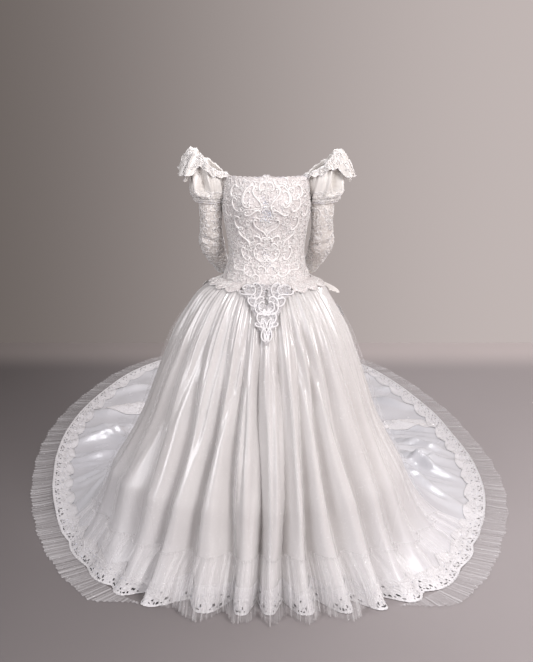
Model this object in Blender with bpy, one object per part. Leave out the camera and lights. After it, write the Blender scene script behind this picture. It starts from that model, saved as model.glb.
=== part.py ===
"""Wedding dress as it is worn, hollow, with nobody in it.

Metres, +Z up. The origin is the middle of the waist, the front faces -Y and +X is to
the right of somebody who looks at the front. Angles run round the body in degrees,
0 at the centre front, 90 at +X and 180 at the centre back.
"""

import math
from collections import namedtuple

import bmesh
import bpy
from mathutils import Vector

for old in list(bpy.data.objects):
    bpy.data.objects.remove(old, do_unlink=True)

# Driving sizes
WAIST_HEIGHT = 1.09
FLOOR = -WAIST_HEIGHT
SEAM_HEIGHT = 1.0
SATIN = 0.0015
TULLE = 0.001
LACE = 0.0015
SEAM = 0.0003
LAYER = 0.0006
BORDER = 0.055
SIDE_SEAM = 100.0
FRONT_SEAM_LEFT = -47.0
FRONT_SEAM_RIGHT = 44.5

# Colour, roughness and metallic of each cloth
CLOTHS = {
    "satin_ivory": ((0.90, 0.87, 0.84), 0.35, 0.0),
    "satin_white": ((0.84, 0.85, 0.89), 0.3, 0.0),
    "lace_corded": ((0.86, 0.83, 0.80), 0.6, 0.0),
    "lace_border": ((0.88, 0.87, 0.87), 0.6, 0.0),
    "tulle": ((0.88, 0.88, 0.90), 0.7, 0.0),
    "pearl": ((0.90, 0.88, 0.85), 0.2, 0.0),
}

Body = namedtuple("Body", "height half_width front back")
BODICE = [
    Body(-0.090, 0.150, 0.118, 0.112),
    Body(-0.060, 0.137, 0.104, 0.096),
    Body(-0.036, 0.129, 0.096, 0.086),
    Body(0.000, 0.125, 0.088, 0.080),
    Body(0.045, 0.129, 0.094, 0.082),
    Body(0.091, 0.136, 0.106, 0.087),
    Body(0.140, 0.145, 0.116, 0.092),
    Body(0.179, 0.147, 0.119, 0.094),
    Body(0.220, 0.1445, 0.112, 0.093),
    Body(0.262, 0.141, 0.100, 0.090),
    Body(0.290, 0.139, 0.095, 0.088),
]

Bell = namedtuple("Bell", "drop half_width front back")
SKIRT = [
    Bell(0.000, 0.150, 0.118, 0.112),
    Bell(0.019, 0.199, 0.148, 0.146),
    Bell(0.055, 0.242, 0.182, 0.196),
    Bell(0.097, 0.272, 0.208, 0.238),
    Bell(0.137, 0.298, 0.228, 0.268),
    Bell(0.188, 0.326, 0.250, 0.300),
    Bell(0.243, 0.348, 0.270, 0.332),
    Bell(0.291, 0.368, 0.287, 0.360),
    Bell(0.349, 0.390, 0.306, 0.400),
    Bell(0.473, 0.437, 0.345, 0.490),
    Bell(0.587, 0.497, 0.388, 0.600),
    Bell(0.689, 0.560, 0.424, 0.730),
]
SWEEP = 0.12

RIGHT_NARROWER = 0.115
RIGHT_NARROW_DROP = 0.06

Hem = namedtuple("Hem", "angle left right")
HEM = [
    Hem(0.0, 0.500, 0.500),
    Hem(20.0, 0.525, 0.530),
    Hem(42.0, 0.600, 0.620),
    Hem(60.0, 0.640, 0.690),
    Hem(75.0, 0.680, 0.730),
    Hem(90.0, 0.748, 0.785),
    Hem(104.0, 0.850, 0.885),
    Hem(120.0, 1.045, 1.050),
    Hem(130.0, 1.235, 1.190),
    Hem(139.0, 1.460, 1.350),
    Hem(147.0, 1.700, 1.555),
    Hem(153.0, 1.905, 1.735),
    Hem(159.0, 2.135, 1.955),
    Hem(165.0, 2.310, 2.190),
    Hem(172.0, 2.410, 2.380),
    Hem(180.0, 2.440, 2.440),
]

Fold = namedtuple("Fold", "crest flat depth")
FOLDS = [
    Fold(-94.0, 0.25, 0.030),
    Fold(-81.0, 0.30, 0.034),
    Fold(-67.0, 0.30, 0.038),
    Fold(-53.0, 0.35, 0.044),
    Fold(-40.0, 0.30, 0.048),
    Fold(-24.0, 0.35, 0.052),
    Fold(-10.0, 0.55, 0.058),
    Fold(2.0, 0.35, 0.050),
    Fold(15.5, 0.40, 0.056),
    Fold(26.5, 0.35, 0.052),
    Fold(38.0, 0.35, 0.050),
    Fold(51.0, 0.35, 0.044),
    Fold(65.0, 0.30, 0.040),
    Fold(79.5, 0.30, 0.034),
    Fold(93.5, 0.25, 0.030),
]
FOLD_AT_WAIST = 0.003
WIDE_FOLD = 0.5

SKIRT_ROWS = [0, 0.02, 0.05, 0.1, 0.18, 0.3, 0.46, 0.64, 0.79, 0.89, 1]
OVERSKIRT_END = 0.89
OVERSKIRT_ROWS = SKIRT_ROWS[:-1]
TRAIN_HANG = [0, 0.02, 0.055, 0.09, 0.125, 0.16, 0.21, 0.3, 0.45, 0.62]
TRAIN_REST = [0.12, 0.28, 0.46, 0.64, 0.82, 1]
TRAIN_COLUMNS = 17


def smooth(table, field, position):
    """Value of one column of a table between its rows, on a curve with no overshoot."""
    keys = [row[0] for row in table]
    values = [getattr(row, field) for row in table]
    if position <= keys[0]:
        return values[0]
    if position >= keys[-1]:
        return values[-1]
    i = max(k for k in range(len(keys) - 1) if keys[k] <= position)
    slopes = [(values[k + 1] - values[k]) / (keys[k + 1] - keys[k]) for k in range(len(keys) - 1)]

    def tangent(k):
        if k == 0 or k == len(keys) - 1:
            return slopes[min(k, len(slopes) - 1)]
        if slopes[k - 1] * slopes[k] <= 0:
            return 0.0
        return 2 * slopes[k - 1] * slopes[k] / (slopes[k - 1] + slopes[k])

    step = keys[i + 1] - keys[i]
    u = (position - keys[i]) / step
    rise = (2 * u**3 - 3 * u**2 + 1) * values[i] + (3 * u**2 - 2 * u**3) * values[i + 1]
    lean = (u**3 - 2 * u**2 + u) * tangent(i) + (u**3 - u**2) * tangent(i + 1)
    return rise + lean * step


def blend(low, high, value):
    """0 below low, 1 above high, an S between them."""
    u = min(max((value - low) / (high - low), 0.0), 1.0)
    return u * u * (3 - 2 * u)


def material(name):
    """The Principled material of one cloth."""
    made = bpy.data.materials.get(name)
    if made is None:
        colour, roughness, metallic = CLOTHS[name]
        made = bpy.data.materials.new(name)
        made.use_nodes = True
        shader = made.node_tree.nodes["Principled BSDF"]
        shader.inputs["Base Color"].default_value = (*colour, 1)
        shader.inputs["Roughness"].default_value = roughness
        shader.inputs["Metallic"].default_value = metallic
    return made


def add_object(name, points, faces, cloth):
    """One named closed body, faces out, shaded smooth."""
    mesh = bpy.data.meshes.new(name)
    mesh.from_pydata(points, [], faces)
    built = bmesh.new()
    built.from_mesh(mesh)
    bmesh.ops.recalc_face_normals(built, faces=built.faces)
    if built.calc_volume(signed=True) < 0:
        bmesh.ops.reverse_faces(built, faces=built.faces)
    built.to_mesh(mesh)
    built.free()
    mesh.shade_smooth()
    mesh.set_sharp_from_angle(angle=math.radians(50))
    mesh.materials.append(material(cloth))
    made = bpy.data.objects.new(name, mesh)
    bpy.context.scene.collection.objects.link(made)
    return made


def wall(name, outer, inner, cloth, around=False, holes=()):
    """A cloth wall between two grids of points, with some cells left out as holes.

    outer[row][column] and inner[row][column] are matching points. around joins the last
    column to the first.
    """
    rows = len(outer)
    columns = len(outer[0])
    count = rows * columns
    points = [p for row in outer for p in row] + [p for row in inner for p in row]
    faces = []
    edges = set()
    for r in range(rows - 1):
        for c in range(columns if around else columns - 1):
            if (r, c) in holes:
                continue
            d = (c + 1) % columns
            a, b, e, f = r * columns + c, r * columns + d, (r + 1) * columns + d, (r + 1) * columns + c
            for corner in ((a, b, e), (a, e, f)):
                faces.append(corner)
                faces.append(tuple(count + i for i in reversed(corner)))
            edges.update(((a, b), (b, e), (e, f), (f, a)))
    for a, b in sorted(edges):
        if (b, a) not in edges:
            faces.append((b, a, count + a))
            faces.append((b, count + a, count + b))
    return add_object(name, points, faces, cloth)


def tuck_edges(grid):
    """Draws the end columns of a panel in by half a seam gap."""
    for row in grid:
        row[0] = row[0] + (row[1] - row[0]).normalized() * SEAM * 0.6
        row[-1] = row[-1] + (row[-2] - row[-1]).normalized() * SEAM * 0.6
    return grid


def ring_normals(rings):
    """Direction square to the cloth at each point of a stack of closed rings."""
    found = []
    for r, ring in enumerate(rings):
        below = rings[max(r - 1, 0)]
        above = rings[min(r + 1, len(rings) - 1)]
        found.append([])
        for i in range(len(ring)):
            along = ring[(i + 1) % len(ring)] - ring[i - 1]
            found[-1].append(along.cross(above[i] - below[i]).normalized())
    return found


# The skirt's surface
def ellipse(angle, half_width, front, back):
    """Distance from the axis to an oval at an angle."""
    turn = math.radians(angle)
    deep = front if math.cos(turn) > 0 else back
    return 1 / math.hypot(math.sin(turn) / half_width, math.cos(turn) / deep)


def hem_radius(angle):
    """Distance from the axis to the lace's outer edge on the floor."""
    return smooth(HEM, "left" if angle < 0 else "right", abs(angle))


PROFILES = {}


def profile(angle):
    """The skirt's line down one direction, as (distance, height, length so far)."""
    key = round(angle, 4)
    if key in PROFILES:
        return PROFILES[key]
    line = []
    for i in range(41):
        drop = SKIRT[-1].drop * i / 40
        sizes = [smooth(SKIRT, field, drop) for field in ("half_width", "front", "back")]
        if 0 < angle < 180:
            sizes[0] *= 1 - RIGHT_NARROWER * blend(0.0, RIGHT_NARROW_DROP, drop)
        line.append((ellipse(angle, *sizes), SEAM_HEIGHT - drop))
    start, top = line[-1]
    reach = hem_radius(angle) - start
    rate = reach / SWEEP
    for i in range(1, 61):
        share = (i / 60) ** 1.5
        fall = (math.exp(-rate * share) - math.exp(-rate)) / (1 - math.exp(-rate))
        line.append((start + reach * share, top * fall))
    length = 0.0
    measured = [(*line[0], 0.0)]
    for before, after in zip(line, line[1:]):
        length += math.dist(before, after)
        measured.append((*after, length))
    PROFILES[key] = measured
    return measured


def run_length(angle):
    """Length of the skirt's line down one direction, waist seam to hem."""
    return profile(angle)[-1][2]


def skirt_base(angle, distance):
    """Point of the smooth skirt, so far along its line from the waist seam."""
    line = profile(angle)
    distance = min(max(distance, 0.0), line[-1][2])
    i = 0
    while line[i + 1][2] < distance:
        i += 1
    share = (distance - line[i][2]) / (line[i + 1][2] - line[i][2])
    radius = line[i][0] + (line[i + 1][0] - line[i][0]) * share
    height = line[i][1] + (line[i + 1][1] - line[i][1]) * share
    turn = math.radians(angle)
    return Vector((radius * math.sin(turn), -radius * math.cos(turn), height + FLOOR))


def skirt_normal(angle, distance):
    """Direction out of the smooth skirt."""
    nudge = 0.004
    length = run_length(angle)
    low = min(max(distance - nudge, 0.0), length - 2 * nudge)
    along = skirt_base(angle, low + 2 * nudge) - skirt_base(angle, low)
    share = distance / length
    left = skirt_base(angle - 0.5, share * run_length(angle - 0.5))
    right = skirt_base(angle + 0.5, share * run_length(angle + 0.5))
    return (right - left).cross(along).normalized() * -1


def skirt_point(angle, distance, lift, sink=0.0, rise=0.0):
    """Point over the skirt: lifted along its normal, sunk towards the axis, raised."""
    turn = math.radians(angle)
    inwards = Vector((-math.sin(turn), math.cos(turn), 0.0))
    normal = skirt_normal(angle, distance)
    return skirt_base(angle, distance) + normal * lift + inwards * sink + Vector((0, 0, rise))


def fold_shape(angle, distance):
    """How far the satin sinks behind its crests between the organ-pipe folds, and no rise."""
    share = distance / run_length(angle)
    valleys = [(a.crest + b.crest) / 2 for a, b in zip(FOLDS, FOLDS[1:])]
    valleys = [-SIDE_SEAM] + valleys + [SIDE_SEAM]
    for fold, low, high in zip(FOLDS, valleys, valleys[1:]):
        if low <= angle <= high:
            reach = high - fold.crest if angle > fold.crest else fold.crest - low
            sink = blend(fold.flat, 1.0, abs(angle - fold.crest) / reach)
            depth = fold.depth * share**1.15 + FOLD_AT_WAIST
            return depth * sink, 0.0
    return 0.0, 0.0


def train_shape(angle, distance):
    """Folds that sink in where the train hangs, and soft ripples that rise on the floor."""
    base = skirt_base(angle, distance)
    height = base.z - FLOOR
    hanging = blend(0.05, 0.3, height)
    edge = run_length(angle) - distance
    wave = math.sin(base.y * 9.1 + base.x * 2.3 + 0.7) + math.sin(base.y * 5.3 - base.x * 6.1 + 1.9)
    ripple = (0.011 + 0.0055 * wave) * blend(0.0, 0.25, edge) + 0.012 * (1 - blend(0.0, 0.2, edge))
    gather = 0.5 - 0.5 * math.cos((abs(angle) - SIDE_SEAM) * math.tau / 10.0)
    depth = FOLD_AT_WAIST + 0.028 * blend(0.0, 0.45, SEAM_HEIGHT - height)
    seam = blend(0.0, 6.0, abs(angle) - SIDE_SEAM)
    return depth * gather * hanging * blend(0.1, 0.4, edge), ripple * (1 - hanging) * seam


def fold_angles(start, end):
    """Columns of the folded satin: a valley, then two on the crest, or three on a wide one."""
    valleys = [(a.crest + b.crest) / 2 for a, b in zip(FOLDS, FOLDS[1:])]
    valleys = [-SIDE_SEAM] + valleys + [SIDE_SEAM]
    angles = []
    for fold, low, high in zip(FOLDS, valleys, valleys[1:]):
        left = fold.crest - low
        right = high - fold.crest
        wide = fold.flat > WIDE_FOLD
        angles += [low, fold.crest - left * fold.flat * (1 if wide else 1.25)]
        angles += [fold.crest] if wide else []
        angles += [fold.crest + right * fold.flat * (1 if wide else 1.25)]
    angles.append(SIDE_SEAM)
    near = 0.01
    return [a for a in angles if start - near <= a <= end + near]


def border_width(angle):
    """Length of the lace border along the skirt's line, so that it is even across the hem."""
    before = skirt_base(angle - 0.5, run_length(angle - 0.5))
    after = skirt_base(angle + 0.5, run_length(angle + 0.5))
    along = (after - before).normalized()
    turn = math.radians(angle)
    slant = abs(along.dot(Vector((math.cos(turn), math.sin(turn), 0.0))))
    return BORDER / max(slant, 0.4)


def hem_angles(start, end, count):
    """Angles that part the hem between two angles into equal lengths."""
    steps = 400
    angles = [start + (end - start) * i / steps for i in range(steps + 1)]
    places = [skirt_base(a, run_length(a)) for a in angles]
    lengths = [0.0]
    for before, after in zip(places, places[1:]):
        lengths.append(lengths[-1] + (after - before).length)
    found = []
    for i in range(count):
        target = lengths[-1] * i / (count - 1)
        j = min(max(k for k in range(steps + 1) if lengths[k] <= target + 1e-9), steps - 1)
        share = (target - lengths[j]) / (lengths[j + 1] - lengths[j])
        found.append(angles[j] + (angles[j + 1] - angles[j]) * share)
    return found


def gore_distances(angle):
    """Rows of a front or side gore, as lengths from the waist seam."""
    return [share * (run_length(angle) - border_width(angle)) for share in SKIRT_ROWS]


def train_distances(angle):
    """Rows of the train: close ones where it hangs, then even ones along the floor."""
    rest = run_length(angle) - border_width(angle) - TRAIN_HANG[-1]
    return TRAIN_HANG + [TRAIN_HANG[-1] + rest * share for share in TRAIN_REST]


def skirt_panel(name, angles, distances, shape, cloth):
    """A satin panel from the waist seam to the lace border."""
    outer = []
    inner = []
    for row in range(len(distances(angles[0]))):
        outer.append([])
        inner.append([])
        for angle in angles:
            distance = distances(angle)[row]
            inner[-1].append(skirt_point(angle, distance, 0.0, *shape(angle, distance)))
            outer[-1].append(skirt_point(angle, distance, SATIN, *shape(angle, distance)))
    outer[0] = [Vector((p.x, p.y, SEAM_HEIGHT + FLOOR - SEAM)) for p in outer[0]]
    inner[0] = [Vector((p.x, p.y, SEAM_HEIGHT + FLOOR - SEAM)) for p in inner[0]]
    return wall(name, tuck_edges(outer), tuck_edges(inner), cloth)


def lace_panel(name, angles, shape, holes, step=1):
    """Pierced lace from the satin's edge to the hem, with step cells to each satin cell."""
    outer = []
    inner = []
    for share in (0.0, 0.42, 0.74, 1.0):
        outer.append([])
        inner.append([])
        for angle in angles:
            distance = run_length(angle) - (border_width(angle) - SEAM * 2.5) * (1 - share)
            inner[-1].append(skirt_point(angle, distance, 0.0, *shape(angle, distance)))
            outer[-1].append(skirt_point(angle, distance, LACE, *shape(angle, distance)))
    for row in (outer[0], inner[0]):
        for i in range(len(row)):
            low = i - i % step
            if low != i:
                row[i] = row[low].lerp(row[low + step], (i - low) / step)
    return wall(name, tuck_edges(outer), tuck_edges(inner), "lace_border", holes=holes)


valleys = [(a.crest + b.crest) / 2 for a, b in zip(FOLDS, FOLDS[1:])]
seam_left = min(valleys, key=lambda a: abs(a - FRONT_SEAM_LEFT))
seam_right = min(valleys, key=lambda a: abs(a - FRONT_SEAM_RIGHT))
left_gore = fold_angles(-SIDE_SEAM, seam_left)
front_gore = fold_angles(seam_left, seam_right)
right_gore = fold_angles(seam_right, SIDE_SEAM)
train_side = hem_angles(SIDE_SEAM, 180.0, TRAIN_COLUMNS)
skirt_panel("skirt_side_left", left_gore, gore_distances, fold_shape, "satin_ivory")
skirt_panel("skirt_front", front_gore, gore_distances, fold_shape, "satin_ivory")
skirt_panel("skirt_side_right", right_gore, gore_distances, fold_shape, "satin_ivory")
skirt_panel("train_right", train_side, train_distances, train_shape, "satin_white")
skirt_panel("train_left", [-a for a in reversed(train_side)], train_distances, train_shape, "satin_white")

# The pierced lace border
LACE_STEP = 3
LACE_CELLS = LACE_STEP * (TRAIN_COLUMNS - 1)
all_gores = fold_angles(-SIDE_SEAM, SIDE_SEAM)
front_holes = [(1, c) for c in range(1, len(all_gores) - 2, 2)]
lace_panel("hem_lace_front", all_gores, fold_shape, front_holes)
lace_side = hem_angles(SIDE_SEAM, 180.0, LACE_CELLS + 1)
lace_holes = [(1, c) for c in range(1, LACE_CELLS - 1, 2)]
lace_panel("train_lace_right", lace_side, train_shape, lace_holes, LACE_STEP)
lace_panel("train_lace_left", [-a for a in reversed(lace_side)], train_shape, lace_holes, LACE_STEP)

# The pleated tulle ruffle round the train
RUFFLE_START = 44.0
RUFFLE_WIDTH = 0.088
TRAIN_PLEATS = 44


def train_ruffle(name, angles):
    """Knife pleats that fall from the lace's edge to the floor."""
    outer = [[], []]
    inner = [[], []]
    for i, angle in enumerate(angles):
        hem = skirt_base(angle, run_length(angle))
        turn = math.radians(angle)
        before = skirt_base(angle - 0.5, run_length(angle - 0.5))
        after = skirt_base(angle + 0.5, run_length(angle + 0.5))
        along = (after - before).normalized()
        away = Vector((along.y, -along.x, 0.0))
        if away.dot(Vector((math.sin(turn), -math.cos(turn), 0.0))) < 0:
            away.negate()
        pleat = 0.006 if i % 2 else 0.0
        rim = train_shape(angle, run_length(angle))[1] if abs(angle) > SIDE_SEAM else 0.0
        slope = skirt_normal(angle, run_length(angle)).to_2d().length
        steps = ((SEAM * 2 + LACE * slope, rim * 0.9), (RUFFLE_WIDTH, pleat))
        for row, (reach, height) in enumerate(steps):
            place = hem + away * reach
            inner[row].append(Vector((place.x, place.y, FLOOR + height)))
            outer[row].append(Vector((place.x, place.y, FLOOR + height + TULLE)))
    wall(name, tuck_edges(outer), tuck_edges(inner), "tulle")


ruffle_side = hem_angles(RUFFLE_START, 180.0, 2 * TRAIN_PLEATS + 1)
train_ruffle("train_ruffle_right", ruffle_side)
train_ruffle("train_ruffle_left", [-a for a in reversed(ruffle_side)])


# The tulle overskirt and its ruffle
def overskirt_lift(share):
    """How far the tulle stands off the satin's crests."""
    return SATIN + LAYER + 0.005 * blend(0.0, 0.3, share)


def overskirt_point(angle, share, extra):
    """Point on the tulle over the front and sides."""
    distance = share * (run_length(angle) - border_width(angle))
    return skirt_point(angle, distance, overskirt_lift(share) + extra)


def add_overskirt():
    """Tulle that spans from crest to crest."""
    angles = []
    for fold in FOLDS:
        low = max([v for v in valleys if v < fold.crest], default=-SIDE_SEAM)
        high = min([v for v in valleys if v > fold.crest], default=SIDE_SEAM)
        angles.append(fold.crest - (fold.crest - low) * fold.flat)
        angles.append(fold.crest + (high - fold.crest) * fold.flat)
    inner = [[overskirt_point(a, share, 0.0) for a in angles] for share in OVERSKIRT_ROWS]
    outer = [[overskirt_point(a, share, TULLE) for a in angles] for share in OVERSKIRT_ROWS]
    for grid in (inner, outer):
        grid[0] = [Vector((p.x, p.y, SEAM_HEIGHT + FLOOR - SEAM)) for p in grid[0]]
    wall("overskirt", outer, inner, "tulle")
    return angles


def add_overskirt_ruffle(start, end, pleats):
    """Gathered tulle from the overskirt's edge, out and down to the floor."""
    outer = [[], [], []]
    inner = [[], [], []]
    for i in range(2 * pleats + 1):
        angle = start + (end - start) * i / (2 * pleats)
        turn = math.radians(angle)
        out = Vector((math.sin(turn), -math.cos(turn), 0.0))
        share = OVERSKIRT_END
        head = overskirt_point(angle, share, 0.0) - Vector((0, 0, SEAM * 3))
        pleat = 0.014 if i % 2 else 0.0
        reach = max(0.055, hem_radius(angle) - math.hypot(head.x, head.y) + 0.018)
        fall = Vector((head.x, head.y, FLOOR + 0.003)) + out * (reach + pleat)
        start_run = share * (run_length(angle) - border_width(angle))
        distance = min(start_run + 0.13, run_length(angle) - 0.02)
        lie = skirt_point(angle, distance, overskirt_lift(share) + 0.014 + pleat * 0.5)
        foot = fall.lerp(lie, blend(33.0, 42.0, abs(angle)))
        middle = head.lerp(foot, 0.5) + out * (0.006 + pleat * 0.5) * (1 - blend(33.0, 42.0, abs(angle)))
        middle += skirt_normal(angle, distance) * 0.006 * blend(33.0, 42.0, abs(angle))
        for row, place in enumerate((head, middle, foot)):
            inner[row].append(place)
            outer[row].append(place + skirt_normal(angle, distance - 0.05) * TULLE)
    wall("overskirt_ruffle", outer, inner, "tulle")


overskirt_angles = add_overskirt()
add_overskirt_ruffle(overskirt_angles[0], overskirt_angles[-1], 24)


# The lace over the waist seam
def lace_over_seam(name, angles, depth):
    """Scalloped lace lying on the top of the skirt, made from its surface."""
    outer = []
    inner = []
    for reach in (0.002, 0.021, HIP_LACE_DEPTH):
        outer.append([])
        inner.append([])
        for angle in angles:
            distance = min(depth(angle), reach)
            lift = overskirt_lift(distance / run_length(angle)) + TULLE + LAYER
            inner[-1].append(skirt_point(angle, distance, lift))
            outer[-1].append(skirt_point(angle, distance, lift + LACE))
    return wall(name, tuck_edges(outer), tuck_edges(inner), "lace_corded")


HIP_LACE_START = 37.0
HIP_LACE_DEPTH = 0.052
SCALLOPS = 9


def hip_scallop(angle):
    """Depth of the hip lace at an angle: rounded scallops."""
    share = (abs(angle) - HIP_LACE_START) / (180.0 - HIP_LACE_START)
    return HIP_LACE_DEPTH - 0.012 * (1 - abs(math.sin(share * SCALLOPS * math.pi)))


HIP_CELLS = 27
hip_side = [HIP_LACE_START + (180.0 - HIP_LACE_START) * i / HIP_CELLS for i in range(HIP_CELLS + 1)]
lace_over_seam("hip_lace_right", hip_side, hip_scallop)
lace_over_seam("hip_lace_left", [-a for a in reversed(hip_side)], hip_scallop)

Point = namedtuple("Point", "down half_width")
BASQUE = [
    Point(0.004, 0.066),
    Point(0.030, 0.078),
    Point(0.055, 0.070),
    Point(0.075, 0.056),
    Point(0.100, 0.048),
    Point(0.125, 0.036),
    Point(0.150, 0.031),
    Point(0.172, 0.018),
    Point(0.190, 0.010),
    Point(0.202, 0.002),
]


def add_basque():
    """The pointed applique, raised along two mirrored scrolls and pierced between them."""
    columns = 12
    outer = []
    inner = []
    for row in BASQUE:
        outer.append([])
        inner.append([])
        for c in range(columns + 1):
            across = 2 * c / columns - 1
            x = row.half_width * across
            angle = 0.0
            for _ in range(4):
                place = skirt_base(angle, row.down)
                angle = math.degrees(math.asin(x / math.hypot(place.x, place.y)))
            lift = overskirt_lift(row.down / run_length(angle)) + TULLE + LAYER
            scroll = max(math.cos(abs(across) * 3 * math.pi + row.down * 60), 0.0)
            inner[-1].append(skirt_point(angle, row.down, lift))
            outer[-1].append(skirt_point(angle, row.down, lift + LACE + 0.0015 * scroll))
    holes = [(1, 4), (1, 7), (3, 2), (3, 9), (4, 5), (4, 6)]
    wall("basque", outer, inner, "lace_corded", holes=holes)


add_basque()

# The bodice
NECKLINE = 0.262
NECK_BUMP = 0.008
BACK_DROP = 0.022
ARMHOLE_DEPTH = 0.075
ARMHOLE_MIDDLE = 92.0
ARMHOLE_SPREAD = 12.0
CUP_X = 0.066
CUP_HEIGHT = 0.165
CUP_DEPTH = 0.017
FRONT_COLUMNS = [0, 8, 16, 26, 36, 46, 56, 64, 71, 77, 83, 90]
BACK_COLUMNS = [90, 96, 102, 109, 118, 128, 139, 150, 160, 170, 180]
BODICE_ROWS = 8


def bodice_top(angle):
    """Height of the bodice's upper edge: straight front, armholes, lower back."""
    turn = abs(angle)
    bump = NECK_BUMP * (1 - blend(0.0, 14.0, turn))
    armhole = ARMHOLE_DEPTH * math.exp(-(((turn - ARMHOLE_MIDDLE) / ARMHOLE_SPREAD) ** 2))
    return NECKLINE + bump - armhole - BACK_DROP * blend(95.0, 125.0, turn)


def body_point(angle, height, out=0.0):
    """Point on the bodice's inside, or so far out from it."""
    sizes = [smooth(BODICE, field, height) for field in ("half_width", "front", "back")]
    radius = ellipse(angle, *sizes) + out
    turn = math.radians(angle)
    x = radius * math.sin(turn)
    y = -radius * math.cos(turn)
    if y < 0:
        for side in (-1, 1):
            far = ((x - side * CUP_X) / 0.046) ** 2 + ((height - CUP_HEIGHT) / 0.05) ** 2
            y -= CUP_DEPTH * math.exp(-far) * blend(0.0, 0.05, -y)
    return Vector((x, y, height))


def bodice_panel(name, angles):
    """A fitted panel from the waist seam to the neckline."""
    bottom = SEAM_HEIGHT + FLOOR
    outer = []
    inner = []
    for row in range(BODICE_ROWS + 1):
        share = row / BODICE_ROWS
        heights = [bottom + (bodice_top(a) - bottom) * share for a in angles]
        inner.append([body_point(a, h) for a, h in zip(angles, heights)])
        outer.append([body_point(a, h, SATIN) for a, h in zip(angles, heights)])
    wall(name, tuck_edges(outer), tuck_edges(inner), "lace_corded")


bodice_panel("bodice_front", [-a for a in reversed(FRONT_COLUMNS[1:])] + FRONT_COLUMNS)
bodice_panel("bodice_back_right", BACK_COLUMNS)
bodice_panel("bodice_back_left", [-a for a in reversed(BACK_COLUMNS)])

# The sleeves: fitted tubes bent at the elbow
Arm = namedtuple("Arm", "out back height radius")
ARM = [
    Arm(0.189, 0.003, 0.178, 0.0370),
    Arm(0.189, 0.006, 0.125, 0.0355),
    Arm(0.189, 0.014, 0.095, 0.0350),
    Arm(0.190, 0.028, 0.062, 0.0360),
    Arm(0.191, 0.045, 0.036, 0.0395),
    Arm(0.188, 0.066, 0.012, 0.0400),
    Arm(0.182, 0.092, -0.012, 0.0365),
    Arm(0.175, 0.120, -0.036, 0.0330),
    Arm(0.167, 0.147, -0.059, 0.0290),
    Arm(0.161, 0.169, -0.077, 0.0265),
    Arm(0.156, 0.187, -0.091, 0.0255),
]
SLEEVE_SIDES = 12
CUFF_POINT = 0.018


def arm_ring(index, side, radius, sides):
    """Points round one section of the arm, from its outer side towards the front."""
    here = ARM[index]
    before = ARM[max(index - 1, 0)]
    after = ARM[min(index + 1, len(ARM) - 1)]
    run = Vector((side * (after.out - before.out), after.back - before.back, after.height - before.height))
    run = Vector((0, 0, -1)) if index == 0 else run.normalized()
    across = Vector((side, 0, 0))
    across = (across - run * across.dot(run)).normalized()
    forward = run.cross(across) * side
    centre = Vector((side * here.out, here.back, here.height))
    points = []
    for i in range(sides):
        turn = math.tau * i / sides
        point = centre + (across * math.cos(turn) + forward * math.sin(turn)) * radius
        if index == len(ARM) - 1:
            point += run * CUFF_POINT * max(math.cos(turn), 0.0) ** 2
        points.append(point)
    return points


def add_sleeve(name, side, columns):
    """One half of a two-piece sleeve, from the puff's band to the pointed cuff."""
    outer = []
    inner = []
    for index, section in enumerate(ARM):
        outside = arm_ring(index, side, section.radius, SLEEVE_SIDES)
        inside = arm_ring(index, side, section.radius - LACE, SLEEVE_SIDES)
        outer.append([outside[c % SLEEVE_SIDES] for c in columns])
        inner.append([inside[c % SLEEVE_SIDES] for c in columns])
    wall(name, tuck_edges(outer), tuck_edges(inner), "lace_corded")


# The puffs and the ruffles on them
Puff = namedtuple("Puff", "near_height far_height near far half_depth")
PUFF = [
    Puff(0.1700, 0.1740, 0.1500, 0.238, 0.043),
    Puff(0.178, 0.184, 0.146, 0.247, 0.052),
    Puff(0.192, 0.202, 0.144, 0.251, 0.058),
    Puff(0.210, 0.226, 0.142, 0.253, 0.061),
    Puff(0.228, 0.256, 0.141, 0.251, 0.060),
    Puff(0.246, 0.288, 0.140, 0.245, 0.055),
    Puff(0.258, 0.318, 0.140, 0.236, 0.048),
]
PUFF_SIDES = 24
BODICE_CLEAR = 0.0022


def puff_point(row, turn, side, out, depth=0.0):
    """Point on a puff, or so deep in its wall: turn 0 is outside, a quarter turn the front."""
    outness = (1 + math.cos(turn)) / 2
    middle = (row.near + row.far) / 2
    half = (row.far - row.near) / 2 + out - depth
    x = middle + half * math.cos(turn)
    y = ARM[0].back - (row.half_depth + out - depth) * math.sin(turn)
    height = row.near_height + (row.far_height - row.near_height) * outness
    return clear_of_bodice(Vector((side * x, y, height)), depth)


def clear_of_bodice(point, depth):
    """Keeps a point of the puff just outside the bodice."""
    sizes = [smooth(BODICE, field, point.z) for field in ("half_width", "front", "back")]
    deep = sizes[1] if point.y < 0 else sizes[2]
    if abs(point.y) < deep:
        least = sizes[0] * math.sqrt(1 - (point.y / deep) ** 2) + BODICE_CLEAR + depth
        if abs(point.x) < least:
            point.x = math.copysign(least, point.x)
    return point


def gather_of(index, i):
    """Small in-and-out gathers in the puff's middle rows."""
    strength = math.sin(math.pi * index / (len(PUFF) - 1))
    return 0.0035 * strength * (1 if i % 2 else -1) + 0.004 * strength * math.sin(i * 0.9)


def add_puff(name, side):
    """Gathered puff, open under and over."""
    outer = []
    inner = []
    for index, row in enumerate(PUFF):
        turns = [math.tau * i / PUFF_SIDES for i in range(PUFF_SIDES)]
        bulge = [gather_of(index, i) * blend(-1.0, 0.4, math.cos(t)) for i, t in enumerate(turns)]
        outer.append([puff_point(row, t, side, b) for t, b in zip(turns, bulge)])
        inner.append([puff_point(row, t, side, b, SATIN) for t, b in zip(turns, bulge)])
    wall(name, outer, inner, "satin_ivory", around=True)


RUFFLE_WAVES = 8


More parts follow.
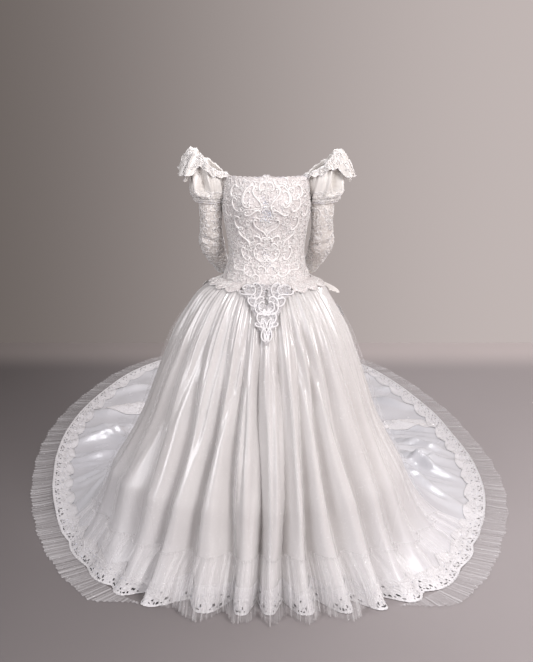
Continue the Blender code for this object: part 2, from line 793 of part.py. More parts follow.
def add_shoulder_ruffle(name, side):
    """Waved ruffle that stands on the puff's upper edge and curls over outwards."""
    sides = RUFFLE_WAVES * 3
    rings = [[], [], [], [], []]
    for i in range(sides):
        turn = math.tau * i / sides
        outness = blend(-0.7, 1.0, math.cos(turn))
        root = puff_point(PUFF[-1], turn, side, 0.0)
        root.z += SEAM * 2
        away = Vector((side * math.cos(turn), -math.sin(turn), 0.0))
        wave = math.sin(turn * RUFFLE_WAVES) * outness
        steps = (
            (0.0, 0.0),
            (0.002 + 0.010 * outness, 0.010 + 0.016 * outness),
            (0.004 + 0.030 * outness + 0.003 * wave, 0.018 + 0.010 * outness + 0.003 * wave),
            (0.005 + 0.048 * outness + 0.006 * wave, 0.024 - 0.032 * outness + 0.006 * wave),
            (0.006 + 0.050 * outness + 0.010 * wave, 0.028 - 0.096 * outness + 0.006 * wave),
        )
        for ring, (reach, rise) in zip(rings, steps):
            ring.append(root + away * reach + Vector((0, 0, rise)))
    normals = ring_normals(rings)
    for i, normal in enumerate(normals[0]):
        normals[0][i] = Vector((normal.x, normal.y, 0.0)).normalized()
    outer = [[p + n * TULLE * 0.5 for p, n in zip(*pair)] for pair in zip(rings, normals)]
    inner = [[p - n * TULLE * 0.5 for p, n in zip(*pair)] for pair in zip(rings, normals)]
    wall(name, outer, inner, "satin_ivory", around=True)


TOP_SLEEVE = range(9, 16)
UNDER_SLEEVE = range(3, 10)
for side_name, side_sign in (("left", -1), ("right", 1)):
    add_sleeve("sleeve_top_" + side_name, side_sign, TOP_SLEEVE)
    add_sleeve("sleeve_under_" + side_name, side_sign, UNDER_SLEEVE)
    add_puff("puff_" + side_name, side_sign)
    add_shoulder_ruffle("shoulder_ruffle_" + side_name, side_sign)


# The buttons
def add_button(name, place, normal, radius, height):
    """A domed button lying just off the cloth."""
    normal = normal.normalized()
    across = normal.orthogonal().normalized()
    along = normal.cross(across)
    sides = 8
    points = []
    for share, rise in ((1.0, 0.0), (0.85, 0.6)):
        for i in range(sides):
            turn = math.tau * i / sides
            spread = (across * math.cos(turn) + along * math.sin(turn)) * radius * share
            points.append(place + normal * (SEAM * 1.5 + height * rise) + spread)
    points.append(place + normal * (SEAM * 1.5))
    points.append(place + normal * (SEAM * 1.5 + height))
    faces = []
    for i in range(sides):
        j = (i + 1) % sides
        faces.append((2 * sides, i, j))
        faces.append((i, j, sides + j, sides + i))
        faces.append((sides + i, sides + j, 2 * sides + 1))
    add_object(name, points, faces, "pearl")


BACK_SEAM_ROWS = [
    SEAM_HEIGHT + FLOOR + (bodice_top(180.0) - SEAM_HEIGHT - FLOOR) * row / BODICE_ROWS
    for row in range(BODICE_ROWS + 1)
]


def back_seam(height):
    """Point and outward direction on the flat stretch of the backs' edge at a height."""
    low = max(h for h in BACK_SEAM_ROWS[:-1] if h <= height)
    high = min(h for h in BACK_SEAM_ROWS if h > low)
    below = body_point(180.0, low, SATIN)
    above = body_point(180.0, high, SATIN)
    outwards = (above - below).cross(Vector((1, 0, 0))) * -1
    return below.lerp(above, (height - low) / (high - low)), outwards


for i, (low, high) in enumerate(zip(BACK_SEAM_ROWS, BACK_SEAM_ROWS[1:])):
    button_place, facing = back_seam(low * 0.5 + high * 0.5)
    if facing.y < 0:
        facing.negate()
    add_button(f"back_button_{i + 1}", button_place, facing, 0.0055, 0.004)

CUFF_BUTTONS = 6
CUFF_BUTTON_COLUMN = 8
for side_name, side_sign in (("left", -1), ("right", 1)):
    for i in range(CUFF_BUTTONS):
        share = (i + 0.6) / CUFF_BUTTONS * 2
        low = 8 + int(share)
        ring_a = arm_ring(low, side_sign, ARM[low].radius, SLEEVE_SIDES)[CUFF_BUTTON_COLUMN]
        next_ring = min(low + 1, len(ARM) - 1)
        ring_b = arm_ring(next_ring, side_sign, ARM[next_ring].radius, SLEEVE_SIDES)[CUFF_BUTTON_COLUMN]
        place = ring_a.lerp(ring_b, share % 1)
        middle_a = Vector((side_sign * ARM[low].out, ARM[low].back, ARM[low].height))
        middle_b = Vector((side_sign * ARM[next_ring].out, ARM[next_ring].back, ARM[next_ring].height))
        away = place - middle_a.lerp(middle_b, share % 1)
        add_button(f"cuff_button_{side_name}_{i + 1}", place, away, 0.0034, 0.0035)

# The bow at the back waist
Bow = namedtuple("Bow", "turn down lift half_width")
LOOP = [
    Bow(6, 0.125, 0.0022, 0.012),
    Bow(16, 0.125, 0.0026, 0.024),
    Bow(32, 0.122, 0.0045, 0.030),
    Bow(50, 0.114, 0.007, 0.022),
    Bow(67, 0.102, 0.016, 0.006),
    Bow(50, 0.110, 0.020, 0.022),
    Bow(32, 0.118, 0.026, 0.030),
    Bow(16, 0.122, 0.024, 0.024),
    Bow(6, 0.125, 0.016, 0.012),
]
SIDE_TAIL = [
    Bow(5, 0.150, 0.0018, 0.010),
    Bow(12, 0.163, 0.0018, 0.016),
    Bow(20, 0.177, 0.0020, 0.021),
    Bow(29, 0.190, 0.0024, 0.024),
    Bow(38, 0.199, 0.0035, 0.026),
    Bow(48, 0.206, 0.006, 0.027),
    Bow(59, 0.208, 0.010, 0.027),
    Bow(70, 0.205, 0.015, 0.022),
]
LONG_TAIL = [
    Bow(2, 0.1438, 0.0108, 0.010),
    Bow(5, 0.165, 0.0040, 0.014),
    Bow(8, 0.200, 0.0018, 0.019),
    Bow(11, 0.260, 0.0015, 0.025),
    Bow(13, 0.340, 0.0013, 0.028),
    Bow(15, 0.440, 0.0013, 0.030),
    Bow(16, 0.540, 0.0013, 0.030),
]


def bow_strip(rows, side, spread):
    """A satin strip over the skirt's back. spread lays its width down the skirt or across it."""
    outer = []
    inner = []
    for row in rows:
        outer.append([])
        inner.append([])
        for share in (-1, -0.35, 0.35, 1):
            if spread == "down":
                angle = side * (180.0 - row.turn)
                down = row.down + share * row.half_width
            else:
                wide = math.degrees(row.half_width / 0.3) * share
                angle = side * (180.0 - row.turn - wide)
                down = row.down
            outer[-1].append(skirt_point(angle, down, row.lift + SATIN))
            inner[-1].append(skirt_point(angle, down, row.lift))
    return outer, inner


def add_bow():
    """Two loops, a knot, a tail to the right side and a long tail down the left."""
    for side_name, side in (("left", -1), ("right", 1)):
        near, under = bow_strip(LOOP, side, "down")
        half = len(LOOP) // 2
        swap = [(under[r], near[r]) if r < half else (near[r], under[r]) for r in range(len(LOOP))]
        middle = swap[half]
        tip = [[a.lerp(b, 0.5) for a, b in zip(*middle)]][0]
        out = Vector((side, 0, 0))
        swap[half] = ([p + out * SATIN for p in tip], [p for p in tip])
        wall("bow_loop_" + side_name, [a for a, b in swap], [b for a, b in swap], "satin_ivory")
    outer, inner = bow_strip(SIDE_TAIL, 1, "down")
    wall("bow_tail_right", outer, inner, "satin_ivory")
    outer, inner = bow_strip(LONG_TAIL, -1, "across")
    wall("bow_tail_left", outer, inner, "satin_ivory")
    base = skirt_point(180.0, 0.125, 0.0116)
    normal = skirt_normal(180.0, 0.125)
    along = Vector((1, 0, 0))
    up = normal.cross(along).normalized()
    points = []
    rings = 5
    sides = 10
    for r in range(1, rings):
        tilt = math.pi * r / rings
        for i in range(sides):
            turn = math.tau * i / sides
            spot = up * math.cos(tilt) * 0.019 + along * math.sin(tilt) * math.cos(turn) * 0.015
            points.append(base + spot + normal * math.sin(tilt) * math.sin(turn) * 0.0105)
    points.append(base + up * 0.019)
    points.append(base - up * 0.019)
    faces = []
    last = (rings - 2) * sides
    for i in range(sides):
        j = (i + 1) % sides
        faces.append((len(points) - 2, i, j))
        faces.append((len(points) - 1, last + i, last + j))
        for r in range(rings - 2):
            faces.append((r * sides + i, r * sides + j, (r + 1) * sides + j, (r + 1) * sides + i))
    add_object("bow_knot", points, faces, "satin_ivory")


add_bow()
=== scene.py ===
# %% [markdown]
# # A wedding dress in satin, tulle and corded lace
#
# The dress stands by itself, hollow, as if somebody wore it. Its plain solids come from the CAD
# model. This lesson dresses them: each step makes one piece of cloth as a fine sheet on the form
# of its solid, and gives it a finish made of nodes.
#
# Metres, +Z up. The origin is the middle of the waist and the front faces -Y. Angles run round
# the body in degrees: 0 is the centre front, 90 is +X and 180 is the centre back.

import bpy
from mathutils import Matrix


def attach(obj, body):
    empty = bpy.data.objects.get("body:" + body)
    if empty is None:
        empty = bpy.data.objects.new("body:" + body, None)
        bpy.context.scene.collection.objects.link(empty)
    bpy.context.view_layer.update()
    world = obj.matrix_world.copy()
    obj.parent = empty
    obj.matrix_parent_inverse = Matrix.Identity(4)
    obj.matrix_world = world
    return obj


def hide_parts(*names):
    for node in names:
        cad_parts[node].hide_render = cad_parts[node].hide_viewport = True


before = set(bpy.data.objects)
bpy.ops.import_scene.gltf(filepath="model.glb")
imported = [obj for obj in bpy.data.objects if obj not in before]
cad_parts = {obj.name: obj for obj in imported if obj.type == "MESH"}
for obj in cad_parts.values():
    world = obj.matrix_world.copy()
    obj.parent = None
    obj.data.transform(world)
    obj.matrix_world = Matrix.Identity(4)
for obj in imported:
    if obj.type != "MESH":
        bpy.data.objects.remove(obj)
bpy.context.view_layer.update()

import math

import bpy
import numpy as np
from mathutils import Vector

scene = bpy.context.scene
WAIST_HEIGHT = 1.09
FLOOR = -WAIST_HEIGHT

# %% [markdown]
# ## The camera
#
# A dress is photographed from a few steps back, so that its proportions stay true. This camera
# stands 3.2 m in front of the waist at 1.7 m, a standing person's eye height, and looks down a
# little. A lens of about 50 mm gives the natural view.

# %% Camera
EYE_HEIGHT = 1.70
EYE_DISTANCE = 3.2
LOOK_DOWN = 15.57

camera = bpy.data.objects.new("camera", bpy.data.cameras.new("camera"))
scene.collection.objects.link(camera)
camera.location = (0.0, -EYE_DISTANCE, EYE_HEIGHT + FLOOR)
camera.rotation_euler = (math.radians(90 - LOOK_DOWN), 0.0, 0.0)
camera.data.sensor_fit = "AUTO"
camera.data.sensor_width = 36.0
camera.data.lens = 51.7
scene.camera = camera
print("camera height over the floor:", EYE_HEIGHT)

# %% [markdown]
# ## Node helpers
#
# Every finish below is a small node tree around one Principled shader. Three helpers keep the
# code for them short: one makes a node and sets its inputs, one blends two colours by a mask,
# and one adds a bump.

# %% Helpers for finishes


def new_finish(name, colour, roughness):
    """A material with one Principled shader; returns it with its tree and shader."""
    made = bpy.data.materials.new(name)
    made.use_nodes = True
    shader = made.node_tree.nodes["Principled BSDF"]
    shader.inputs["Base Color"].default_value = (*colour, 1.0)
    shader.inputs["Roughness"].default_value = roughness
    return made, made.node_tree, shader


def add_node(tree, kind, settings=(), **inputs):
    """A node of a kind, with its settings and its inputs' values or links."""
    made = tree.nodes.new(kind)
    for field, value in dict(settings).items():
        setattr(made, field, value)
    for field, value in inputs.items():
        socket = made.inputs[int(field[2:])] if field.startswith("at") else made.inputs[field]
        if isinstance(value, bpy.types.NodeSocket):
            tree.links.new(value, socket)
        else:
            socket.default_value = value
    return made


def mask(tree, value, low, high, bottom=0.0, top=1.0):
    """The value stretched so that low to high becomes bottom to top."""
    made = add_node(tree, "ShaderNodeMapRange", {"interpolation_type": "SMOOTHSTEP"})
    tree.links.new(value, made.inputs["Value"])
    for field, number in (("From Min", low), ("From Max", high), ("To Min", bottom), ("To Max", top)):
        made.inputs[field].default_value = number
    return made.outputs["Result"]


def mix_colours(tree, share, first, second):
    """Two colours, numbers or links, blended by a share."""
    made = add_node(tree, "ShaderNodeMix", {"data_type": "RGBA"})
    tree.links.new(share, made.inputs["Factor"])
    for place, colour in ((6, first), (7, second)):
        if isinstance(colour, bpy.types.NodeSocket):
            tree.links.new(colour, made.inputs[place])
        else:
            made.inputs[place].default_value = (*colour, 1.0)
    return made.outputs[2]


def add_bump(tree, shader, height, distance, strength=1.0, under=None):
    """Bumps the shader, or another bump, by a height."""
    made = add_node(tree, "ShaderNodeBump", Strength=strength, Distance=distance, Height=height)
    if under is not None:
        tree.links.new(under, made.inputs["Normal"])
    tree.links.new(made.outputs["Normal"], shader.inputs["Normal"])
    return made.outputs["Normal"]


def places(tree):
    """Where a point is on the object, in metres."""
    return add_node(tree, "ShaderNodeTexCoord").outputs["Object"]


def noise(tree, scale, detail=2.0, where=None):
    """A soft cloud of values, so many to the metre."""
    where = where or places(tree)
    return add_node(tree, "ShaderNodeTexNoise", Vector=where, Scale=scale, Detail=detail).outputs["Fac"]


print("helpers ready")

# %% [markdown]
# ## The studio
#
# The floor is a sheet of grey paper that ends behind the train. It is the stage and no part of
# the dress. Its grey carries painted shade and painted light: darker towards the left, where the
# light falls off, and lighter at its far end behind the train, where it meets the surround. Behind
# it the surround is grey too, darker on the left where the light falls off. The light is soft: a
# large panel in front on the right, a weaker one on the left, and one overhead that catches the train.

# %% Paper floor
FLOOR_END = 2.62


def paper_floor():
    """The floor as one flat sheet in squares."""
    depths = np.linspace(-9.0, FLOOR_END, 24)
    columns = np.linspace(-9.0, 9.0, 37)
    points = [(x, y, FLOOR - 0.0005) for y in depths for x in columns]
    faces = []
    for r in range(len(depths) - 1):
        for c in range(len(columns) - 1):
            a = r * len(columns) + c
            faces.append((a, a + 1, a + len(columns) + 1, a + len(columns)))
    mesh = bpy.data.meshes.new("paper_floor")
    mesh.from_pydata(points, [], faces)
    mesh.shade_smooth()
    return mesh


paper, tree, shader = new_finish("studio_paper_painted_shade", (0.4, 0.38, 0.37), 0.9)
parts = add_node(tree, "ShaderNodeSeparateXYZ", Vector=places(tree))
# Painted shade on the paper: its grey darkens towards the left where the light falls off, and it is painted lighter
# beyond Y 2.02 to 2.46, where it meets the surround.
from_left = mask(tree, parts.outputs["X"], -2.4, 2.6)
near = mix_colours(tree, from_left, (0.060, 0.053, 0.052), (0.465, 0.425, 0.425))
far = mix_colours(tree, from_left, (0.160, 0.142, 0.134), (0.720, 0.650, 0.635))
tone = mix_colours(tree, mask(tree, parts.outputs["Y"], 2.02, 2.46), near, far)
shade = mix_colours(tree, mask(tree, noise(tree, 1.3, 3.0), 0.3, 0.7, 0.0, 0.05), tone, (0.2, 0.19, 0.18))
tree.links.new(shade, shader.inputs["Base Color"])
floor = bpy.data.objects.new("paper_floor", paper_floor())
floor.data.materials.append(paper)
scene.collection.objects.link(floor)
print("paper floor:", len(floor.data.polygons), "faces")

# %% Lights


def add_panel(name, place, aim, size, power, colour=(1.0, 1.0, 1.0)):
    """A square soft light that looks at a point."""
    data = bpy.data.lights.new(name, "AREA")
    data.size = size
    data.energy = power
    data.color = colour
    made = bpy.data.objects.new(name, data)
    made.location = place
    made.rotation_euler = (Vector(aim) - Vector(place)).to_track_quat("-Z", "Y").to_euler()
    scene.collection.objects.link(made)
    return made


add_panel("key_panel", (2.6, -3.4, 2.0), (0.0, 0.3, -0.3), 1.3, 142, (1.0, 0.97, 0.98))
add_panel("fill_panel", (-2.8, -3.2, 1.4), (0.0, 0.2, -0.4), 2.2, 88, (0.97, 0.96, 1.0))
add_panel("top_panel", (0.4, 1.0, 3.0), (0.0, 0.9, -1.0), 1.8, 78, (0.96, 0.955, 1.0))
scene.world = bpy.data.worlds.new("surround")
scene.world.use_nodes = True
tree = scene.world.node_tree
surround = tree.nodes["Background"]
towards = add_node(tree, "ShaderNodeTexCoord").outputs["Generated"]
from_left = mask(tree, add_node(tree, "ShaderNodeSeparateXYZ", Vector=towards).outputs["X"], -0.36, 0.30)
tree.links.new(mix_colours(tree, from_left, (0.135, 0.115, 0.106), (0.54, 0.475, 0.46)), surround.inputs["Color"])
surround.inputs["Strength"].default_value = 1.0
scene.view_settings.view_transform = "Standard"

# %% [markdown]
# ## The skirt's form
#
# The skirt hangs from the waist as a bell, runs out at the floor, and turns into a long train
# behind. Each direction has its own line from the waist seam to the hem. A point is found by an
# angle and a length along that line, so cloth that follows the same lines keeps its width. The
# tables repeat the CAD model's sizes, and numpy reads whole grids of points at once.

# %% Tables of the skirt
SEAM_HEIGHT = 1.0
SIDE_SEAM = 100.0
BORDER = 0.055
SWEEP = 0.12
SATIN = 0.0015

# drop below the waist seam, half width, front, back
SKIRT = [
    (0.000, 0.150, 0.118, 0.112),
    (0.019, 0.199, 0.148, 0.146),
    (0.055, 0.242, 0.182, 0.196),
    (0.097, 0.272, 0.208, 0.238),
    (0.137, 0.298, 0.228, 0.268),
    (0.188, 0.326, 0.250, 0.300),
    (0.243, 0.348, 0.270, 0.332),
    (0.291, 0.368, 0.287, 0.360),
    (0.349, 0.390, 0.306, 0.400),
    (0.473, 0.437, 0.345, 0.490),
    (0.587, 0.497, 0.388, 0.600),
    (0.689, 0.560, 0.424, 0.730),
]
RIGHT_NARROWER = 0.115
RIGHT_NARROW_DROP = 0.06
# angle, distance of the hem from the axis on the left and on the right
HEM = [
    (0.0, 0.500, 0.500), (20.0, 0.525, 0.530), (42.0, 0.600, 0.620), (60.0, 0.640, 0.690),
    (75.0, 0.680, 0.730), (90.0, 0.748, 0.785), (104.0, 0.850, 0.885), (120.0, 1.045, 1.050),
    (130.0, 1.235, 1.190), (139.0, 1.460, 1.350), (147.0, 1.700, 1.555), (153.0, 1.905, 1.735),
    (159.0, 2.135, 1.955), (165.0, 2.310, 2.190), (172.0, 2.410, 2.380), (180.0, 2.440, 2.440),
]


def smooth(table, column, at):
    """One column of a table between its rows, on a curve with no overshoot."""
    keys = np.array([row[0] for row in table])
    values = np.array([row[column] for row in table])
    slopes = np.diff(values) / np.diff(keys)
    tangents = np.concatenate(([slopes[0]], np.zeros(len(keys) - 2), [slopes[-1]]))
    same = slopes[:-1] * slopes[1:] > 0
    both = (slopes[:-1] + slopes[1:])[same]
    tangents[1:-1][same] = 2 * (slopes[:-1] * slopes[1:])[same] / both
    at = np.clip(at, keys[0], keys[-1])
    i = np.clip(np.searchsorted(keys, at, side="right") - 1, 0, len(keys) - 2)
    step = keys[i + 1] - keys[i]
    u = (at - keys[i]) / step
    rise = (2 * u**3 - 3 * u**2 + 1) * values[i] + (3 * u**2 - 2 * u**3) * values[i + 1]
    lean = (u**3 - 2 * u**2 + u) * tangents[i] + (u**3 - u**2) * tangents[i + 1]
    return rise + lean * step


def blend(low, high, value):
    """0 below low, 1 above high, an S between them."""
    u = np.clip((np.asarray(value, float) - low) / (high - low), 0.0, 1.0)
    return u * u * (3 - 2 * u)


print("front hem radius:", smooth(HEM, 1, 0.0))

# %% Lines and points of the skirt


def ellipse(turn, half_width, front, back):
    """Distance from the axis to an oval, at an angle in radians."""
    deep = np.where(np.cos(turn) > 0, front, back)
    return 1 / np.hypot(np.sin(turn) / half_width, np.cos(turn) / deep)


def hem_radius(angles):
    """Distance from the axis to the lace's outer edge on the floor."""
    around = np.abs(angles)
    return np.where(np.asarray(angles) < 0, smooth(HEM, 1, around), smooth(HEM, 2, around))


def skirt_lines(angles):
    """Each direction's line, as arrays of distance, height and length so far."""
    turn = np.radians(angles)[:, None]
    drop = SKIRT[-1][0] * np.arange(41) / 40
    on_right = ((angles > 0) & (angles < 180))[:, None]
    narrow = 1 - RIGHT_NARROWER * blend(0.0, RIGHT_NARROW_DROP, drop)[None, :]
    half_width, front, back = (smooth(SKIRT, column, drop)[None, :] for column in (1, 2, 3))
    radius = ellipse(turn, half_width * np.where(on_right, narrow, 1.0), front, back)
    height = np.broadcast_to(SEAM_HEIGHT - drop, radius.shape)
    share = ((np.arange(1, 61) / 60) ** 1.5)[None, :]
    start = radius[:, -1:]
    reach = hem_radius(angles)[:, None] - start
    rate = reach / SWEEP
    fall = (np.exp(-rate * share) - np.exp(-rate)) / (1 - np.exp(-rate))
    radius = np.concatenate((radius, start + reach * share), axis=1)
    height = np.concatenate((height, height[:, -1:] * fall), axis=1)
    steps = np.hypot(np.diff(radius, axis=1), np.diff(height, axis=1))
    length = np.concatenate((np.zeros((len(angles), 1)), np.cumsum(steps, axis=1)), axis=1)
    return radius, height, length


def run_length(angles):
    """Length of each direction's line, waist seam to hem."""
    return skirt_lines(np.asarray(angles, float))[2][:, -1]


def skirt_base(angles, distance):
    """Points of the smooth skirt: one column for each angle, one row for each length."""
    angles = np.asarray(angles, float)
    radius, height, length = skirt_lines(angles)
    near = np.empty(distance.shape)
    high = np.empty(distance.shape)
    for j in range(len(angles)):
        near[:, j] = np.interp(distance[:, j], length[j], radius[j])
        high[:, j] = np.interp(distance[:, j], length[j], height[j])
    turn = np.radians(angles)
    return np.stack((near * np.sin(turn), -near * np.cos(turn), high + FLOOR), axis=-1)


def skirt_normals(angles, distance):
    """Directions out of the smooth skirt."""
    nudge = 0.004
    length = run_length(angles)
    low = np.clip(distance - nudge, 0.0, length - 2 * nudge)
    along = skirt_base(angles, low + 2 * nudge) - skirt_base(angles, low)
    share = distance / length
    left = skirt_base(angles - 0.5, share * run_length(angles - 0.5))
    right = skirt_base(angles + 0.5, share * run_length(angles + 0.5))
    normals = np.cross(right - left, along) * -1
    return normals / np.linalg.norm(normals, axis=-1, keepdims=True)


def skirt_points(angles, distance, lift=0.0, sink=0.0, rise=0.0):
    """Points over the skirt: lifted along the normal, sunk towards the axis, raised."""
    angles = np.asarray(angles, float)
    turn = np.radians(angles)
    inwards = np.stack((-np.sin(turn), np.cos(turn), np.zeros_like(turn)), axis=-1)
    points = skirt_base(angles, distance)
    lift = np.broadcast_to(np.asarray(lift, float), distance.shape)
    sink = np.broadcast_to(np.asarray(sink, float), distance.shape)
    points = points + skirt_normals(angles, distance) * lift[..., None] + inwards * sink[..., None]
    points[..., 2] += rise
    return points


print("lengths, front, side, back:", run_length(np.array([0.0, 90.0, 180.0])).round(3))

# %% Helpers for cloth


def add_mesh(name, points, faces, finish, uv=None):
    """A named piece that rides on the dress, shaded smooth, with its finish and slot."""
    mesh = bpy.data.meshes.new(name)
    mesh.from_pydata([tuple(p) for p in points], [], faces)
    mesh.shade_smooth()
    mesh.materials.append(finish)
    if uv is not None:
        layer = mesh.uv_layers.new(name="cloth")
        corners = np.empty(len(mesh.loops), np.int32)
        mesh.loops.foreach_get("vertex_index", corners)
        layer.data.foreach_set("uv", np.asarray(uv, np.float32)[corners].ravel())
    made = bpy.data.objects.new(name, mesh)
    scene.collection.objects.link(made)
    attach(made, "root")
    return made


def measure(grid):
    """Width, length and area of a grid of points as flat cloth."""
    across = np.linalg.norm(np.diff(grid, axis=1), axis=-1)
    along = np.linalg.norm(np.diff(grid, axis=0), axis=-1)
    one = np.cross(grid[1:, :-1] - grid[:-1, :-1], grid[:-1, 1:] - grid[:-1, :-1])
    two = np.cross(grid[1:, :-1] - grid[1:, 1:], grid[:-1, 1:] - grid[1:, 1:])
    area = (np.linalg.norm(one, axis=-1).sum() + np.linalg.norm(two, axis=-1).sum()) / 2
    return across.sum(axis=1).max(), along.sum(axis=0).max(), area


def cloth_uv(grid):
    """Each point's place on the cloth, in metres across and along."""
    across = np.linalg.norm(np.diff(grid, axis=1), axis=-1).mean(axis=0)
    along = np.linalg.norm(np.diff(grid, axis=0), axis=-1)
    u = np.concatenate(([0.0], np.cumsum(across)))
    v = np.concatenate((np.zeros((1, grid.shape[1])), np.cumsum(along, axis=0)))
    return np.stack((np.broadcast_to(u, v.shape), v), axis=-1).reshape(-1, 2)


WEDGE = 0.5


def add_cloth(name, grid, finish, around=False, holes=None):
    """A sheet of cloth from a grid of points; prints the size of its cut."""
    rows, columns = grid.shape[:2]
    faces = []
    for r in range(rows - 1):
        for c in range(columns if around else columns - 1):
            if holes is not None and holes[r, c]:
                continue
            d = (c + 1) % columns
            a, b = r * columns + c, r * columns + d
            faces.append((a, (r + 1) * columns + c, (r + 1) * columns + d, b))
    made = add_mesh(name, grid.reshape(-1, 3), faces, finish, cloth_uv(grid))
    whole = np.concatenate((grid, grid[:, :1]), axis=1) if around else grid
    width, length, area = measure(whole)
    area = min(sum(f.area for f in made.data.polygons), area)
    width = min(width, area / (WEDGE * length))
    print(f"{name}: {len(faces)} faces, cut {width:.2f} x {length:.2f} m, {area:.2f} square metres")
    return made


print("cloth helpers ready")

# %% [markdown]
# ## Satin
#
# Satin shines because its threads float over the surface: highlights are bright and soft along
# the folds. A low roughness gives that. A slight change of tone and of roughness from place to
# place, and a fine bump for the threads and the small waves in the cloth, keep it from looking
# like plastic. The skirt's satin is ivory. The train's is a cooler white.

# %% Satin finishes


def satin_finish(name, light, dark, roughness, waves, away=None):
    """Satin in two close tones, with long small waves in it; away is its tone far from the axis."""
    made, tree, shader = new_finish(name, light, roughness)
    tone = mix_colours(tree, mask(tree, noise(tree, 3.0, 3.0), 0.35, 0.65), dark, light)
    if away is not None:
        flat = add_node(tree, "ShaderNodeVectorMath", {"operation": "MULTIPLY"}, at0=places(tree), at1=(1, 1, 0))
        far = add_node(tree, "ShaderNodeVectorMath", {"operation": "LENGTH"}, at0=flat.outputs[0])
        tone = mix_colours(tree, mask(tree, far.outputs["Value"], 0.36, 0.75), tone, away)
        worn = mask(tree, far.outputs["Value"], 0.42, 0.58, roughness - 0.06, roughness + 0.12)
    else:
        worn = mask(tree, noise(tree, 9.0), 0.3, 0.7, roughness - 0.04, roughness + 0.06)
    tree.links.new(tone, shader.inputs["Base Color"])
    tree.links.new(worn, shader.inputs["Roughness"])
    shader.inputs["Sheen Weight"].default_value = 0.12
    shader.inputs["Specular IOR Level"].default_value = 0.85
    cloth = add_node(tree, "ShaderNodeTexCoord").outputs["UV"]
    long = add_node(tree, "ShaderNodeMapping", Vector=cloth, Scale=(11.0, 1.6, 1.0)).outputs["Vector"]
    soft = add_bump(tree, shader, noise(tree, 1.0, 2.0, long), waves, 0.7)
    add_bump(tree, shader, noise(tree, 900.0, 1.0), 0.0002, 0.3, soft)
    return made


satin_ivory = satin_finish("satin_ivory", (0.740, 0.725, 0.715), (0.665, 0.645, 0.635), 0.24, 0.012, (0.715, 0.715, 0.745))
satin_white = satin_finish("satin_white", (0.68, 0.685, 0.71), (0.62, 0.625, 0.655), 0.22, 0.010)
print("satins:", satin_ivory.name, satin_white.name)

# %% [markdown]
# ## The gathered satin skirt
#
# A full skirt is cut much wider than the waist and gathered into the seam. It falls in deep
# rounded folds, called organ pipes, that open towards the hem. Each fold has its crest, how flat
# it is and how deep the valley beside it goes. Small gathers start at the waist and die out, and
# long uneven creases cross the folds. All of it is written in numbers on the skirt's form, so
# each fold can stand where it should.

# %% Folds of the skirt
# crest angle, flat share, depth
FOLDS = [
    (-94.0, 0.25, 0.030), (-81.0, 0.30, 0.034), (-67.0, 0.30, 0.038), (-53.0, 0.35, 0.044),
    (-40.0, 0.30, 0.048), (-24.0, 0.35, 0.052), (-10.0, 0.55, 0.058), (2.0, 0.35, 0.050),
    (15.5, 0.40, 0.056), (26.5, 0.35, 0.052), (38.0, 0.35, 0.050), (51.0, 0.35, 0.044),
    (65.0, 0.30, 0.040), (79.5, 0.30, 0.034), (93.5, 0.25, 0.030),
]
VALLEYS = [(a[0] + b[0]) / 2 for a, b in zip(FOLDS, FOLDS[1:])]
FOLD_AT_WAIST = 0.003
DEEPER = 1.70


def fold_sink(angles, share):
    """How far the satin sinks behind its crests, one column for each angle."""
    sink = np.zeros(share.shape)
    around = np.asarray(angles, float)[None, :] + 0 * share
    sway = 1.7 * np.sin(7.0 * share + around * 0.13) * blend(0.05, 0.35, share)
    at = np.clip(around + sway, -SIDE_SEAM, SIDE_SEAM)
    edges = [-SIDE_SEAM, *VALLEYS, SIDE_SEAM]
    flat_out = 1 - 0.85 * blend(46.0, 62.0, np.abs(around)) * blend(0.80, 1.0, share)
    for (crest, flat, depth), low, high in zip(FOLDS, edges, edges[1:]):
        inside = (at >= low) & (at <= high)
        off = np.abs(at - crest) / np.where(at > crest, high - crest, crest - low)
        valley = 0.55 * blend(flat * 0.55, 1.0, off) + 0.45 * np.clip(off, 0, 1) ** 1.8
        deep = DEEPER * depth * share**1.15 * flat_out + FOLD_AT_WAIST
        sink = np.where(inside, deep * valley, sink)
    return sink * (1 - blend(92.0, 99.5, np.abs(around)))


def gathers(angles, share):
    """Fine gathers under the waist seam that die out down the skirt."""
    wave = np.sin(angles * 1.35 + 0.7 * np.sin(angles * 0.31)) + 0.6 * np.sin(angles * 2.17 + 1.0)
    strength = blend(0.0, 0.03, share) * (1 - blend(0.05, 0.42, share))
    return 0.0028 * (wave[None, :] + 1.6) * strength


# start angle, end angle, start share, end share, width in degrees, depth
CREASES = [
    (-74, -88, 0.08, 0.60, 2.2, 0.007), (-60, -71, 0.12, 0.75, 2.4, 0.008),
    (-48, -56, 0.05, 0.55, 2.0, 0.007), (-46, -46, 0.40, 0.98, 2.2, 0.009),
    (-35, -38, 0.08, 0.62, 1.9, 0.009), (-30, -33, 0.30, 0.95, 2.0, 0.010),
    (-22, -20, 0.10, 0.70, 1.7, 0.008), (-17, -27, 0.14, 0.52, 1.6, 0.007),
    (-13, -12, 0.25, 0.97, 1.3, 0.006), (-6, -7, 0.16, 0.92, 1.3, 0.007),
    (4, 3, 0.12, 0.85, 1.1, 0.005), (9, 7, 0.15, 0.70, 1.5, 0.008),
    (13, 12, 0.10, 0.95, 1.2, 0.006), (19, 18, 0.15, 0.80, 1.5, 0.007),
    (22, 30, 0.05, 0.58, 2.0, 0.009), (33, 30, 0.22, 0.90, 1.8, 0.009),
    (30, 42, 0.08, 0.55, 1.9, 0.008), (44, 47, 0.12, 0.98, 2.0, 0.009),
    (50, 59, 0.06, 0.50, 2.2, 0.008), (58, 55, 0.35, 0.95, 2.1, 0.008),
    (64, 76, 0.10, 0.62, 2.4, 0.008), (83, 88, 0.10, 0.80, 2.4, 0.007),
]


